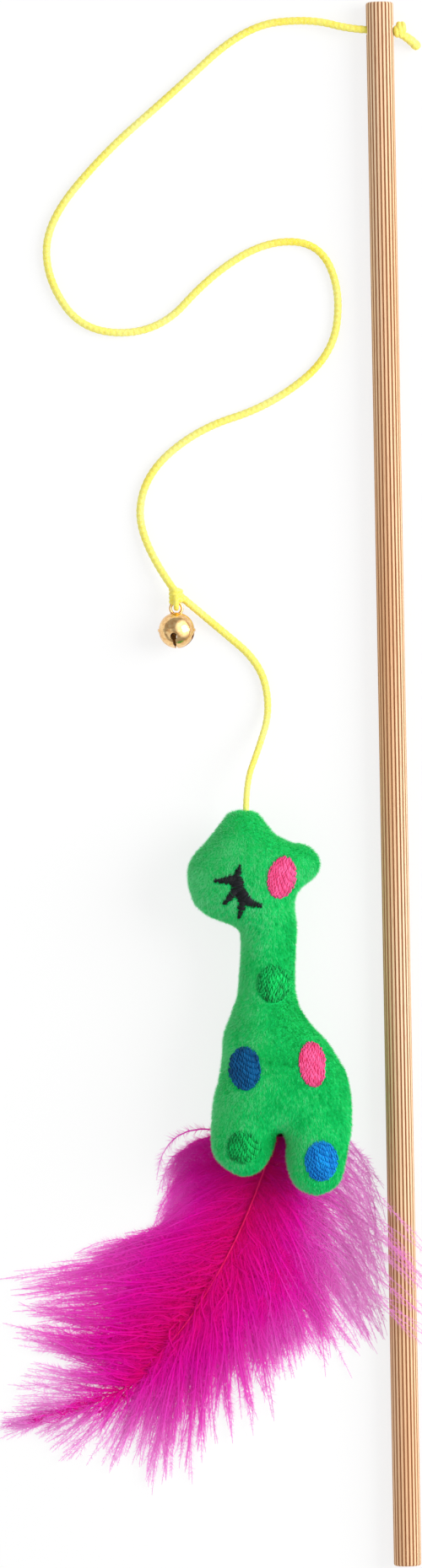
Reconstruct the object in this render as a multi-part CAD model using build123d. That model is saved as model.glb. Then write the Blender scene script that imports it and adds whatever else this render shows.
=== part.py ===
from build123d import *

import os
from math import pi, radians, sqrt, tan

# A cat teaser wand lying on a table: a fluted rod, a satin cord with a jingle bell on it,
# and a stuffed giraffe with feathers at the cord's end. Millimetres, +Z up from the table,
# +Y along the rod towards its tip, origin under the middle of the rod, toy and feathers.

# Rod
ROD_LENGTH = 400.0
ROD_DIAMETER = 7.0
ROD_OFFSET = 49.5
ROD_END_ROUND = 0.6
FLUTE_COUNT = 22
FLUTE_WIDTH = 0.4
FLUTE_DEPTH = 0.3
HOLE_DIAMETER = 2.8
HOLE_FROM_TIP = 7.0

# Cord and its knots
CORD_DIAMETER = 2.0
TANGENT_SHARE = 0.45
STOPPER_TURN = 1.15
STOPPER_STRAND = 0.95
STOPPER_GAP = 0.1
HITCH_DIAMETER = 3.6
HITCH_LENGTH = 3.6
HITCH_ROUND = 1.2
HITCH_RISE = 4.1
HITCH_DROP = 1.2
HITCH_LOOP_RADIUS = 1.6
HITCH_LOOP_STRAND = 0.7
ANCHOR_DIAMETER = 4.0
ANCHOR_DEPTH = 4.4
ANCHOR_CLEARANCE = 0.25

# Bell, hung by its loop at BELL_PIVOT
BELL_PIVOT = (-5.2, 45.9)
BELL_DIAMETER = 9.2
BELL_WALL = 0.4
BELL_LIP = 0.25
BELL_LIP_HEIGHT = 0.7
BELL_SLOT_WIDTH = 0.8
BELL_EYE_DIAMETER = 1.8
BELL_EYE_DROP = 1.6
BELL_SLOT_TURN = 11.0
BELL_LOOP_RADIUS = 1.5
BELL_LOOP_WIRE = 0.8
BELL_LOOP_STAND = 1.0
PELLET_DIAMETER = 2.5
PELLET_CLEARANCE = 0.1

# Stuffed giraffe, measured from its crown, where the cord goes in
CROWN = (11.6, -6.2)
BODY_THICKNESS = 24.0
NECK_THICKNESS = 13.6
HEAD_THICKNESS = 22.0
LEG_THICKNESS = 16.0
EAR_THICKNESS = 10.0
CROWN_THICKNESS = 15.0
PLUSH_THICKNESS = 1.0
STUFFING_CLEARANCE = 0.1
PATCH_THICKNESS = 0.5

# Feathers, sewn under the body between the legs
FEATHER_ROOT = (7.0, -81.5)
VANE_THICKNESS = 1.0
VANE_GAP = 0.2
VANE_FLOOR = 0.3
QUILL_DIAMETER = 1.1
SIDE_QUILL_DIAMETER = 0.9
LEAF_OVERLAP = 0.15
BINDING_DIAMETER = 4.6
BINDING_HEIGHT = 2.4
BINDING_CLEARANCE = 0.1
STITCH_DIAMETER = 0.9
STITCH_DEPTH = 6.0
STITCH_HEAD_DIAMETER = 2.4
STITCH_HEAD_HEIGHT = 0.4
STITCH_HEAD_GAP = 0.1

# Heights and places that follow
ROD_Z = ROD_DIAMETER / 2
TIP_Y = ROD_LENGTH / 2
HOLE_Y = TIP_Y - HOLE_FROM_TIP
CORD_Z = CORD_DIAMETER / 2
BELL_RADIUS = BELL_DIAMETER / 2
BELL_Z = BELL_RADIUS + BELL_LIP
BELL_CENTRE = (BELL_PIVOT[0], BELL_PIVOT[1] - BELL_LOOP_STAND - BELL_RADIUS, BELL_Z)
HITCH_Z = BELL_Z - HITCH_DROP
HITCH = (BELL_PIVOT[0], BELL_PIVOT[1] + HITCH_RISE, HITCH_Z)
SEAM_Z = max(BODY_THICKNESS, HEAD_THICKNESS, LEG_THICKNESS, NECK_THICKNESS) / 2
TOY_PLACE = Location((CROWN[0], CROWN[1], SEAM_Z))
STOPPER_X = ROD_OFFSET + ROD_DIAMETER / 2 + STOPPER_GAP + STOPPER_STRAND
ANCHOR = (CROWN[0], CROWN[1] - ANCHOR_DEPTH, SEAM_Z)

# Cord routes: the upper one from its free tail through the rod, the lower one into the crown
UPPER_ROUTE = [
    (59.4, 188.2, CORD_Z),
    (55.6, HOLE_Y, ROD_Z),
    (43.0, HOLE_Y, ROD_Z),
    (31.5, 196.4, 2.0),
    (15.0, 194.8, CORD_Z),
    (-4.7, 177.2, CORD_Z),
    (-21.6, 163.0, CORD_Z),
    (-36.4, 145.7, CORD_Z),
    (-37.1, 131.4, CORD_Z),
    (-27.8, 117.0, CORD_Z),
    (-8.4, 116.7, CORD_Z),
    (5.0, 131.1, CORD_Z),
    (19.4, 139.7, CORD_Z),
    (33.0, 139.0, CORD_Z),
    (38.4, 126.4, CORD_Z),
    (35.9, 109.8, CORD_Z),
    (19.7, 97.4, CORD_Z),
    (0.6, 91.7, CORD_Z),
    (-13.4, 79.5, CORD_Z),
    (-14.6, 63.4, CORD_Z),
    HITCH,
]
LOWER_ROUTE = [
    HITCH,
    (5.0, 41.2, CORD_Z),
    (16.2, 31.4, CORD_Z),
    (18.4, 19.4, 1.6),
    (15.0, 9.2, 6.8),
    (CROWN[0], 0.6, SEAM_Z),
    (CROWN[0], -9.0, SEAM_Z),
]

# Stuffed forms as stations along an axis: place, low side, high side and share of the thickness
BODY_STATIONS = [
    (-46.0, -1.6, 10.4, 0.50),
    (-51.0, -4.4, 13.4, 0.72),
    (-56.0, -6.2, 16.7, 0.85),
    (-61.0, -7.0, 20.8, 0.93),
    (-66.5, -7.8, 23.8, 0.98),
    (-71.5, -9.0, 25.3, 1.00),
    (-76.0, -9.7, 25.7, 0.89),
    (-79.5, -9.4, 25.3, 0.66),
    (-82.0, -8.6, 24.2, 0.42),
]
NECK_STATIONS = [
    (-24.0, -1.1, 11.9, 0.86),
    (-30.0, -2.4, 12.4, 1.00),
    (-37.0, -2.1, 12.1, 1.00),
    (-44.0, -2.7, 11.8, 1.00),
    (-50.0, -4.2, 12.8, 1.04),
    (-54.0, -4.6, 13.4, 1.00),
]
HEAD_STATIONS = [
    (-15.0, -18.4, -14.8, 0.15),
    (-13.8, -22.2, -11.8, 0.42),
    (-11.4, -25.7, -8.7, 0.70),
    (-8.1, -28.0, -6.7, 0.88),
    (-3.6, -29.2, -5.8, 0.99),
    (1.4, -29.4, -6.0, 1.00),
    (6.4, -28.2, -7.0, 0.90),
    (10.4, -25.3, -9.4, 0.68),
    (13.0, -21.3, -13.3, 0.36),
]
CROWN_STATIONS = [
    (-9.0, -10.4, 9.0, 1.00),
    (-6.2, -9.2, 7.8, 0.96),
    (-3.7, -6.3, 5.5, 0.75),
    (-1.1, -4.8, 3.6, 0.53),
    (0.0, -3.0, 1.9, 0.32),
]
EAR_STATIONS = [
    (7.4, -20.8, -8.8, 0.80),
    (11.4, -21.2, -8.4, 1.00),
    (15.4, -19.3, -9.1, 0.92),
    (17.8, -17.0, -11.4, 0.60),
    (18.7, -15.4, -13.2, 0.25),
]
FRONT_LEG_STATIONS = [
    (-74.0, -8.6, 4.9, 0.75),
    (-79.0, -9.8, 6.0, 0.95),
    (-84.0, -10.2, 6.0, 1.00),
    (-88.0, -9.4, 4.8, 0.93),
    (-91.0, -7.0, 3.0, 0.70),
    (-93.0, -4.0, 0.2, 0.33),
]
REAR_LEG_STATIONS = [
    (-76.0, 9.4, 23.9, 0.77),
    (-82.0, 8.8, 25.4, 0.98),
    (-87.0, 8.7, 24.4, 1.00),
    (-92.0, 9.0, 23.3, 0.90),
    (-96.0, 11.0, 21.0, 0.65),
    (-98.5, 13.6, 17.2, 0.30),
]

# Embroidered spots: centre, half width, half height and lean to the right
EAR_PATCH = (8.7, -17.0, 3.5, 5.4, 14.0)
NECK_SPOT = (6.2, -44.0, 4.1, 4.8, 0.0)
CHEST_SPOT = (-1.4, -65.3, 4.0, 5.5, 0.0)
FLANK_SPOT = (15.6, -64.6, 3.4, 5.7, -6.0)
FRONT_FOOT_SPOT = (-2.2, -85.4, 4.2, 4.2, 0.0)
REAR_FOOT_SPOT = (17.5, -89.2, 4.1, 5.2, 0.0)

# Closed eye: the lid's ends, the deepest points of its two edges, and the lashes from root to tip
EYE_LID_ENDS = ((-1.4, -13.8), (3.6, -24.0))
EYE_LID_OUTER = (-3.4, -20.6)
EYE_LID_INNER = (-1.8, -20.2)
EYE_LASHES = (
    ((-2.4, -17.6), (-8.5, -17.6)),
    ((-2.2, -20.8), (-6.2, -23.4)),
    ((0.0, -22.6), (-2.2, -26.9)),
)
LASH_WIDTH = 1.5

# Feathers: each quill's points, and tufts from quill to tip with their width
MAIN_QUILL = [
    FEATHER_ROOT,
    (0.0, -101.0),
    (-10.5, -121.0),
    (-22.0, -137.0),
    (-39.0, -150.5),
    (-57.0, -155.0),
]
MAIN_TUFTS = [
    ((2.5, -91.0), (-14.4, -82.8), 9.0),
    ((2.0, -95.0), (-19.6, -87.6), 10.0),
    ((0.5, -99.0), (-20.1, -96.0), 10.0),
    ((-1.5, -104.0), (-22.1, -104.0), 10.0),
    ((-3.5, -108.0), (-28.1, -112.0), 10.0),
    ((-6.5, -113.0), (-35.6, -114.8), 10.0),
    ((-8.5, -117.0), (-49.6, -114.4), 10.0),
    ((-11.5, -122.0), (-57.1, -118.8), 10.0),
    ((-14.5, -125.0), (-64.6, -122.8), 10.0),
    ((-17.5, -129.5), (-58.6, -130.2), 9.0),
    ((-20.5, -133.0), (-61.1, -134.8), 9.0),
    ((-23.5, -138.0), (-57.1, -140.2), 8.0),
    ((-26.5, -142.5), (-59.1, -145.2), 8.0),
    ((-31.5, -146.5), (-58.6, -150.8), 7.0),
    ((-45.0, -151.0), (-64.6, -156.8), 6.0),
    ((-41.0, -150.5), (-52.6, -157.4), 6.0),
    ((-35.0, -148.5), (-47.6, -162.6), 8.0),
    ((-28.0, -144.0), (-35.6, -165.0), 9.0),
    ((-23.5, -138.5), (-26.1, -170.4), 9.0),
    ((-20.0, -133.5), (-16.3, -172.8), 10.0),
    ((-16.5, -128.5), (-9.1, -162.4), 10.0),
    ((-13.0, -124.0), (3.9, -154.8), 10.0),
    ((-9.0, -118.0), (9.4, -143.6), 10.0),
    ((-5.0, -111.0), (16.4, -131.0), 11.0),
    ((-2.0, -104.5), (19.4, -116.0), 12.0),
    ((0.5, -99.0), (20.4, -103.0), 11.0),
]
SIDE_QUILL = [
    FEATHER_ROOT,
    (5.2, -98.0),
    (2.6, -112.0),
    (2.4, -125.0),
]
SIDE_TUFTS = [
    ((6.0, -91.0), (33.2, -85.6), 9.0),
    ((5.5, -95.0), (33.4, -95.0), 11.0),
    ((4.5, -100.0), (33.2, -106.0), 12.0),
    ((4.0, -104.0), (33.4, -118.0), 12.0),
    ((3.0, -108.0), (32.8, -129.0), 11.0),
    ((2.6, -112.0), (31.8, -135.4), 10.0),
    ((2.4, -116.0), (19.9, -141.4), 10.0),
    ((2.4, -120.0), (8.9, -146.0), 9.0),
    ((2.6, -122.0), (-2.0, -146.0), 8.0),
]


def route_radii(points):
    """Largest bend at each inner point that both of its runs leave room for."""
    places = [Vector(*point) for point in points]
    radii = []
    for before, here, after in zip(places, places[1:], places[2:]):
        turn = (here - before).get_angle(after - here)
        shorter = min((here - before).length, (after - here).length)
        radii.append(TANGENT_SHARE * shorter / tan(radians(turn) / 2))
    return radii


def tube(points, diameter):
    """Round tube along straight runs joined by tangent arcs."""
    path = FilletPolyline(*points, radius=route_radii(points))
    start = Plane(origin=path @ 0, z_dir=path % 0)
    return sweep(start * Circle(diameter / 2), path=path), path.length


def cord(name, points):
    """Cord tube, with its bends and its volume against section times length printed."""
    solid, length = tube(points, CORD_DIAMETER)
    radii = ", ".join(f"{radius:.1f}" for radius in route_radii(points))
    section = pi * CORD_DIAMETER**2 / 4
    print(f"{name}: {length:.1f} mm, volume share {solid.volume / (section * length):.4f}, radii {radii}")
    return solid


def make_rod():
    """Fluted dowel lying on the table, cross-drilled near its tip."""
    dowel = Cylinder(ROD_DIAMETER / 2, ROD_LENGTH)
    dowel = fillet(dowel.edges().filter_by(GeomType.CIRCLE), ROD_END_ROUND)
    rim = ROD_DIAMETER / 2
    outer = rim + FLUTE_DEPTH
    corners = [(rim - FLUTE_DEPTH, 0), (outer, FLUTE_WIDTH), (outer, -FLUTE_WIDTH)]
    groove = make_face(Polyline(*corners, close=True))
    grooves = PolarLocations(0, FLUTE_COUNT) * groove
    dowel -= extrude(Sketch(children=list(grooves)), ROD_LENGTH / 2, both=True)
    dowel = Location((ROD_OFFSET, 0, ROD_Z), (-90, 0, 0)) * dowel
    hole = Cylinder(HOLE_DIAMETER / 2, 2 * ROD_DIAMETER)
    return dowel - Location((ROD_OFFSET, HOLE_Y, ROD_Z), (0, 90, 0)) * hole


def make_stopper(cord_upper):
    """Knot drawn up against the rod, round the cord."""
    turn = Torus(STOPPER_TURN, STOPPER_STRAND)
    return Location((STOPPER_X, HOLE_Y, ROD_Z), (0, 90, 0)) * turn - cord_upper


def make_hitch():
    """Knot above the bell, with the small loop that goes through the bell's wire."""
    barrel = Cylinder(HITCH_DIAMETER / 2, HITCH_LENGTH)
    barrel = fillet(barrel.edges().filter_by(GeomType.CIRCLE), HITCH_ROUND)
    loop = Torus(HITCH_LOOP_RADIUS, HITCH_LOOP_STRAND)
    loop_place = Location((BELL_PIVOT[0], BELL_PIVOT[1] + HITCH_LOOP_RADIUS, BELL_Z), (0, 90, 0))
    return Location(HITCH, (90, 0, 0)) * barrel + loop_place * loop


def make_bell():
    """Pressed cap and slotted cup, the wire loop on the cap, and the pellet inside."""
    place = Location(BELL_CENTRE)
    ball = Sphere(BELL_RADIUS)
    shell = ball - Sphere(BELL_RADIUS - BELL_WALL)
    lip = Rot(90, 0, 0) * Cylinder(BELL_RADIUS + BELL_LIP, BELL_LIP_HEIGHT) - ball
    cap = split(shell, bisect_by=Plane.ZX, keep=Keep.TOP) + lip
    cup = split(shell, bisect_by=Plane.ZX, keep=Keep.BOTTOM)
    for turn in (0, 90):
        spin = Rot(0, turn - BELL_SLOT_TURN, 0)
        slot = Box(BELL_SLOT_WIDTH, BELL_DIAMETER, 2 * BELL_DIAMETER)
        eye = Cylinder(BELL_EYE_DIAMETER / 2, 2 * BELL_DIAMETER)
        cup -= spin * Pos(0, -BELL_EYE_DROP - BELL_RADIUS, 0) * slot
        cup -= spin * Pos(0, -BELL_EYE_DROP, 0) * eye
    loop = Pos(0, BELL_RADIUS + BELL_LOOP_STAND, 0) * Torus(BELL_LOOP_RADIUS, BELL_LOOP_WIRE / 2) - ball
    drop = BELL_RADIUS - BELL_WALL - PELLET_DIAMETER / 2 - PELLET_CLEARANCE
    pellet = Pos(0, 0, -drop) * Sphere(PELLET_DIAMETER / 2)
    return place * cap, place * cup, place * loop, place * pellet


def oval(low, high, depth):
    """Face of four arcs, from low to high across and depth thick each way."""
    middle = (low + high) / 2
    across = (high - low) / 2
    side = across * sqrt(0.5)
    rise = depth * sqrt(0.5)
    corners = [(middle + side, rise), (middle - side, rise), (middle - side, -rise), (middle + side, -rise)]
    crests = [(middle, depth), (middle - across, 0), (middle, -depth), (middle + across, 0)]
    arcs = Curve()
    for index, crest in enumerate(crests):
        arcs += ThreePointArc(corners[index], crest, corners[(index + 1) % len(corners)])
    return make_face(arcs)


def form(stations, thickness, along, grow=0.0):
    """Stuffed form lofted through ovals along X or Y, grown or shrunk all round."""
    first = stations[0][0]
    last = stations[-1][0]
    middle = (first + last) / 2
    stretch = 1 + 2 * grow / abs(last - first)
    sections = []
    for place, low, high, share in stations:
        at = middle + (place - middle) * stretch
        plane = Plane(origin=(0, at, 0), x_dir=(1, 0, 0), z_dir=(0, -1, 0))
        if along == "x":
            plane = Plane(origin=(at, 0, 0), x_dir=(0, 1, 0), z_dir=(1, 0, 0))
        sections.append(plane * oval(low - grow, high + grow, share * thickness / 2 + grow))
    return loft(sections)


def body_form(grow=0.0):
    return form(BODY_STATIONS, BODY_THICKNESS, "y", grow)


def neck_form(grow=0.0):
    return form(NECK_STATIONS, NECK_THICKNESS, "y", grow)


def head_form(grow=0.0):
    return form(HEAD_STATIONS, HEAD_THICKNESS, "x", grow)


def front_leg_form(grow=0.0):
    return form(FRONT_LEG_STATIONS, LEG_THICKNESS, "y", grow)


def rear_leg_form(grow=0.0):
    return form(REAR_LEG_STATIONS, LEG_THICKNESS, "y", grow)


def filling(grow):
    """Space inside the stuffed forms, in one piece from head to feet."""
    space = body_form(grow) + neck_form(grow) + head_form(grow)
    return space + front_leg_form(grow) + rear_leg_form(grow)


def patch(outline, shape):
    """Embroidered layer on the upper face of a stuffed form, inside a flat outline."""
    layer = shape(PATCH_THICKNESS) - shape()
    return extrude(outline, BODY_THICKNESS) & layer


def spot_outline(spot):
    x, y, half_width, half_height, lean = spot
    return Location((x, y, 0), (0, 0, -lean)) * Ellipse(half_width, half_height)


def eye_outline():
    """Lid as a crescent, with three pointed lashes."""
    start, end = EYE_LID_ENDS
    outline = make_face(ThreePointArc(start, EYE_LID_OUTER, end) + ThreePointArc(end, EYE_LID_INNER, start))
    for root, tip in EYE_LASHES:
        inner = Vector(*root)
        outer = Vector(*tip)
        across = (outer - inner).normalized().rotate(Axis.Z, 90) * (LASH_WIDTH / 2)
        outline += make_face(Polyline(inner + across, outer, inner - across, close=True))
    return outline


def make_stitch():
    """Thread through the quills' binding, up into the body, with its knot below."""
    floor = VANE_FLOOR - SEAM_Z
    top = floor + STITCH_HEAD_HEIGHT + BINDING_HEIGHT + STITCH_DEPTH
    thread = extrude(Pos(0, 0, floor) * Circle(STITCH_DIAMETER / 2), top - floor)
    head = extrude(Pos(0, 0, floor) * Circle(STITCH_HEAD_DIAMETER / 2), STITCH_HEAD_HEIGHT)
    return Pos(*FEATHER_ROOT) * (thread + head)


def make_toy():
    """Plush forms with one stuffed space inside, each cut by the larger ones, and the patches."""
    body = body_form()
    head = head_form()
    neck = neck_form() - body - head
    front_leg = front_leg_form() - body
    rear_leg = rear_leg_form() - body
    crown = form(CROWN_STATIONS, CROWN_THICKNESS, "y") - head
    ear = form(EAR_STATIONS, EAR_THICKNESS, "x") - head - neck_form() - crown
    space = filling(-PLUSH_THICKNESS)
    stuffing = filling(-PLUSH_THICKNESS - STUFFING_CLEARANCE)
    stitch = make_stitch()
    cord_hole = extrude(Plane.XZ * Circle(CORD_DIAMETER / 2 + ANCHOR_CLEARANCE), ANCHOR_DEPTH)
    socket = cord_hole + Pos(0, -ANCHOR_DEPTH, 0) * Sphere(ANCHOR_DIAMETER / 2 + ANCHOR_CLEARANCE)
    pieces = {
        "toy_body": body - space - stitch,
        "toy_neck": neck - space,
        "toy_head": head - space - socket,
        "toy_crown": crown - space - socket,
        "toy_ear": ear - space,
        "toy_front_leg": front_leg - space,
        "toy_rear_leg": rear_leg - space,
        "stuffing": stuffing - stitch - socket,
        "feather_stitch": stitch,
        "eye": patch(eye_outline(), head_form),
        "ear_patch": patch(spot_outline(EAR_PATCH), head_form) - ear,
        "neck_spot": patch(spot_outline(NECK_SPOT), neck_form) - body,
        "chest_spot": patch(spot_outline(CHEST_SPOT), body_form),
        "flank_spot": patch(spot_outline(FLANK_SPOT), body_form),
        "front_foot_spot": patch(spot_outline(FRONT_FOOT_SPOT), front_leg_form),
        "rear_foot_spot": patch(spot_outline(REAR_FOOT_SPOT), rear_leg_form),
    }
    return {name: TOY_PLACE * piece for name, piece in pieces.items()}


def leaf(root, tip, width):
    """Pointed tuft outline, with its root carried a little past the quill."""
    outer = Vector(*tip)
    inner = Vector(*root) - (outer - Vector(*root)) * LEAF_OVERLAP
    middle = (inner + outer) / 2
    across = (outer - inner).normalized().rotate(Axis.Z, 90) * (width / 2)
    edges = ThreePointArc(inner, middle + across, outer) + ThreePointArc(outer, middle - across, inner)
    return make_face(edges)


def make_feather(quill_points, tufts, quill_diameter, vane_bottom, quill_z):
    """Quill grown into a flat vane of pointed tufts."""
    outline = Sketch()
    for root, tip, width in tufts:
        outline += leaf(root, tip, width)
    vane = extrude(Pos(0, 0, vane_bottom) * outline, VANE_THICKNESS)
    quill, _ = tube([(x, y, quill_z) for x, y in quill_points], quill_diameter)
    return vane + quill


def make_feathers():
    """Main plume over the smaller side plume, both let into the binding on the stitch."""
    side_bottom = VANE_FLOOR - SEAM_Z
    main_bottom = side_bottom + VANE_THICKNESS + VANE_GAP
    side_z = side_bottom + VANE_THICKNESS - SIDE_QUILL_DIAMETER / 2
    main_z = main_bottom + VANE_THICKNESS
    binding_floor = side_bottom + STITCH_HEAD_HEIGHT + STITCH_HEAD_GAP
    root = Pos(FEATHER_ROOT[0], FEATHER_ROOT[1], binding_floor)
    core = root * extrude(Circle(BINDING_DIAMETER / 2), BINDING_HEIGHT)
    bore = root * extrude(Circle(STITCH_DIAMETER / 2 + BINDING_CLEARANCE), BINDING_HEIGHT)
    below = root * extrude(Circle(BINDING_DIAMETER / 2), -STITCH_HEAD_HEIGHT - STITCH_HEAD_GAP)
    main = make_feather(MAIN_QUILL, MAIN_TUFTS, QUILL_DIAMETER, main_bottom, main_z)
    side = make_feather(SIDE_QUILL, SIDE_TUFTS, SIDE_QUILL_DIAMETER, side_bottom, side_z)
    pieces = {
        "main_feather": main - core,
        "side_feather": side - core - below,
        "quill_binding": core - bore,
    }
    return {name: TOY_PLACE * piece for name, piece in pieces.items()}


def make_parts():
    """Every piece by its node's name."""
    hitch = make_hitch()
    anchor = Location(ANCHOR) * Sphere(ANCHOR_DIAMETER / 2)
    cord_upper = cord("cord_upper", UPPER_ROUTE) - hitch
    cord_lower = cord("cord_lower", LOWER_ROUTE) - hitch - anchor - cord_upper
    cap, cup, loop, pellet = make_bell()
    parts = {
        "rod": make_rod(),
        "cord_upper": cord_upper,
        "stopper_knot": make_stopper(cord_upper),
        "bell_hitch": hitch,
        "cord_lower": cord_lower,
        "anchor_knot": anchor,
        "bell_cap": cap,
        "bell_cup": cup,
        "bell_loop": loop,
        "bell_pellet": pellet,
    }
    parts.update(make_toy())
    parts.update(make_feathers())
    return parts


os.makedirs("parts", exist_ok=True)
for name, piece in make_parts().items():
    export_step(piece, f"parts/{name}.step")
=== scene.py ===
import math

import bpy
import numpy as np
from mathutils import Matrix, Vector, geometry, noise
from mathutils.bvhtree import BVHTree


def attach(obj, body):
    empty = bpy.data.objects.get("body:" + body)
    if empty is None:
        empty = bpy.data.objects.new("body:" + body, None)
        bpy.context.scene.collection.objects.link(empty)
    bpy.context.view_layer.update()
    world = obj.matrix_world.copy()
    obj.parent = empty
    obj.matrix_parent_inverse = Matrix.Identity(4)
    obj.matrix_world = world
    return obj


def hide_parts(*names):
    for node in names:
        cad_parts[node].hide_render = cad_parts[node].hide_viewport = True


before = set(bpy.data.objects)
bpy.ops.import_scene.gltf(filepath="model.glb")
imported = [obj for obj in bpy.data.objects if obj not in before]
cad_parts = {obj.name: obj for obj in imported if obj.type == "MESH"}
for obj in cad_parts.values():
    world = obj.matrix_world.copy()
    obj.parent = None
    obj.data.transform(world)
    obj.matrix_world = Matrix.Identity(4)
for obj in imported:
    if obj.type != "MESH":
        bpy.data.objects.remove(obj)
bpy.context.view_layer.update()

# A cat teaser wand seen from straight above. Lengths are in millimetres where nothing else is said.
MM = 0.001
SEED = 20
rng = np.random.default_rng(SEED)
UP = np.array([0.0, 0.0, 1.0])
FULL_TURN = 2 * np.pi
TINY = 1e-9
WHITE = (1.0, 1.0, 1.0, 1.0)

# View
PHOTO_HEIGHT = 401.23
VIEW_CENTRE = (2.86, 0.84)
VIEW_PLANE = 3.5
VIEW_ROLL = math.radians(-1.035)
LENS = 200.0
SENSOR = 36.0
CLIP_END_M = 100.0

# Light. Each lamp has a place and a size in metres, and a power.
SKY_LEVEL = 0.58
WINDOW_DIRECTION = (0.75, 0.2, 0.63)
WINDOW_GLOW = {"From Min": 0.5, "From Max": 0.88, "To Min": 0.42, "To Max": 2.2}
LAMPS = {
    "key": ((1.1, 0.25, 0.8), 0.9, 16.5),
    "fill": ((-0.9, -0.5, 0.9), 1.2, 2.0),
}
FLOOR_SIZE = 40000.0
FLOOR_DROP = 0.1
FLOOR_GREY = 0.98
FLOOR_SHADOW_SHARE = 0.22

# Rod
ROD_RADIUS = 3.5
ROD_X = 49.5
ROD_Z = ROD_RADIUS
ROD_LEFT = ROD_X - ROD_RADIUS
ROD_FLUTES = 22
FLUTE_PHASE = 30.5
HOLE_Y = 193.0

# Cord and its knots
CORD_DIAMETER = 2.0
CORD_STEP = 0.16
CORD_SIDES = 16
PLAIT_PITCH = 1.5
PLAIT_STRANDS = 2
PLAIT_DEPTH = 0.06
TAIL_FLARE = ((0.0, 1.3), (4.0, 1.2), (7.0, 1.0))
CROWN_TAPER = ((0.0, 1.0), (25.0, 1.0), (60.0, 0.8))
EVEN_THICKNESS = ((0.0, 1.0), (1.0, 1.0))
CORD_Z = 1.0
HITCH = (-5.2, 50.0, 3.65)
BELL_PIVOT = (-5.2, 45.9, 4.85)
SEAM_Z = 12.0
CROWN = np.array([11.6, -6.2])
UPPER_ROUTE = [
    (59.4, 188.2, CORD_Z), (55.6, HOLE_Y, ROD_Z), (43.0, HOLE_Y, ROD_Z), (31.5, 196.4, 2.0),
    (15.0, 194.8, CORD_Z), (-4.7, 177.2, CORD_Z), (-21.6, 163.0, CORD_Z), (-36.4, 145.7, CORD_Z),
    (-37.1, 131.4, CORD_Z), (-27.8, 117.0, CORD_Z), (-8.4, 116.7, CORD_Z), (5.0, 131.1, CORD_Z),
    (19.4, 139.7, CORD_Z), (33.0, 139.0, CORD_Z), (38.4, 126.4, CORD_Z), (35.9, 109.8, CORD_Z),
    (19.7, 97.4, CORD_Z), (0.6, 91.7, CORD_Z), (-13.4, 79.5, CORD_Z), (-14.6, 63.4, CORD_Z), HITCH,
]
LOWER_ROUTE = [
    HITCH, (5.0, 41.2, CORD_Z), (16.2, 31.4, CORD_Z), (18.4, 19.4, 1.6), (15.0, 9.2, 6.8),
    (CROWN[0], 0.6, SEAM_Z), (CROWN[0], -9.0, SEAM_Z),
]
STOPPER_X = 54.6
STOPPER_COIL = {"axis": "x", "radius": 1.35, "turns": 2.3, "pitch": 0.9, "start": 0.6}
STOPPER_STRAND = 0.76
HITCH_SHIFT = (0.0, -0.9, 0.5)
HITCH_COIL = {"axis": "y", "radius": 1.1, "turns": 3.6, "pitch": 1.05, "start": 1.0}
HITCH_STRAND = 0.78
LOOP_RADIUS = 1.6
LOOP_STRAND = 0.68
LOOP_POINTS = 60
COIL_POINTS = 36
TUCK_ANGLE = 1.2
TUCK_SHARE = 0.15
SPLINE_STEPS = 40
ASLANT = (0.3, 0.2, 0.93)
LEAST_END = 1e-4

# Plush giraffe, measured from its crown
TOY_OUTLINE = [
    (-0.5, 0.2), (2.1, -0.1), (3.6, -1.2), (5.5, -3.8), (7.6, -6.2), (11.5, -8.2),
    (15.1, -8.9), (17.5, -10.7), (18.7, -13.3), (18.2, -15.9), (16.3, -18.0), (13.9, -19.7),
    (12.5, -21.6), (12.0, -24.6), (12.4, -30.0), (12.0, -36.5), (11.7, -44.0), (12.1, -47.9),
    (13.3, -51.4), (16.0, -55.1), (19.6, -59.1), (22.3, -63.4), (24.2, -67.1), (25.2, -71.2),
    (25.6, -76.6), (25.4, -82.0), (24.5, -85.9), (23.8, -89.8), (22.7, -94.1), (20.5, -96.6),
    (16.5, -98.1), (13.1, -97.3), (10.8, -95.6), (9.3, -92.5), (8.7, -88.6), (8.8, -85.0),
    (8.2, -82.8), (7.1, -82.1), (6.2, -83.2), (5.6, -85.6), (4.4, -88.6), (2.4, -91.3),
    (-0.6, -92.8), (-3.9, -92.5), (-7.3, -90.5), (-9.4, -88.1), (-10.2, -85.1), (-10.3, -80.3),
    (-9.6, -73.8), (-8.2, -68.5), (-7.2, -62.7), (-6.7, -57.3), (-4.8, -51.7), (-3.0, -46.6),
    (-2.3, -40.5), (-1.9, -34.5), (-2.1, -31.0), (-3.6, -29.3), (-6.8, -27.9), (-10.2, -26.4),
    (-13.2, -23.9), (-14.6, -20.5), (-15.2, -16.6), (-14.7, -13.1), (-12.9, -10.4), (-10.3, -7.6),
    (-7.9, -4.8), (-6.3, -2.7), (-4.8, -0.8), (-2.8, 0.2),
]
TOY_CURVE_STEPS = 10
TOY_INSET = 0.3
TOY_EDGE_STEP = 0.55
TOY_RINGS = (0.08, 0.32, 0.75, 1.35)
TOY_RING_ROOM = 0.8
TOY_GRID = 0.9
TOY_ROW_SHARE = 0.866
TOY_TOLERANCE = 1e-6
TOY_THICKEST = 10.8
TOY_LIMIT = 13.5
TOY_REST_Z = 0.35
TOY_LUMPS = 0.22
TOY_LUMP_SIZE = 7.0
TOY_LUMPS_FROM = 4.0
SWELL_STEPS = 900
SWELL_DONE = 1e-12
CLOTH_FRAMES = 20
CLOTH_SCALE = 10.0
CLOTH_PRESSURE = 200.0
CLOTH_CAP = 1.0

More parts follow.
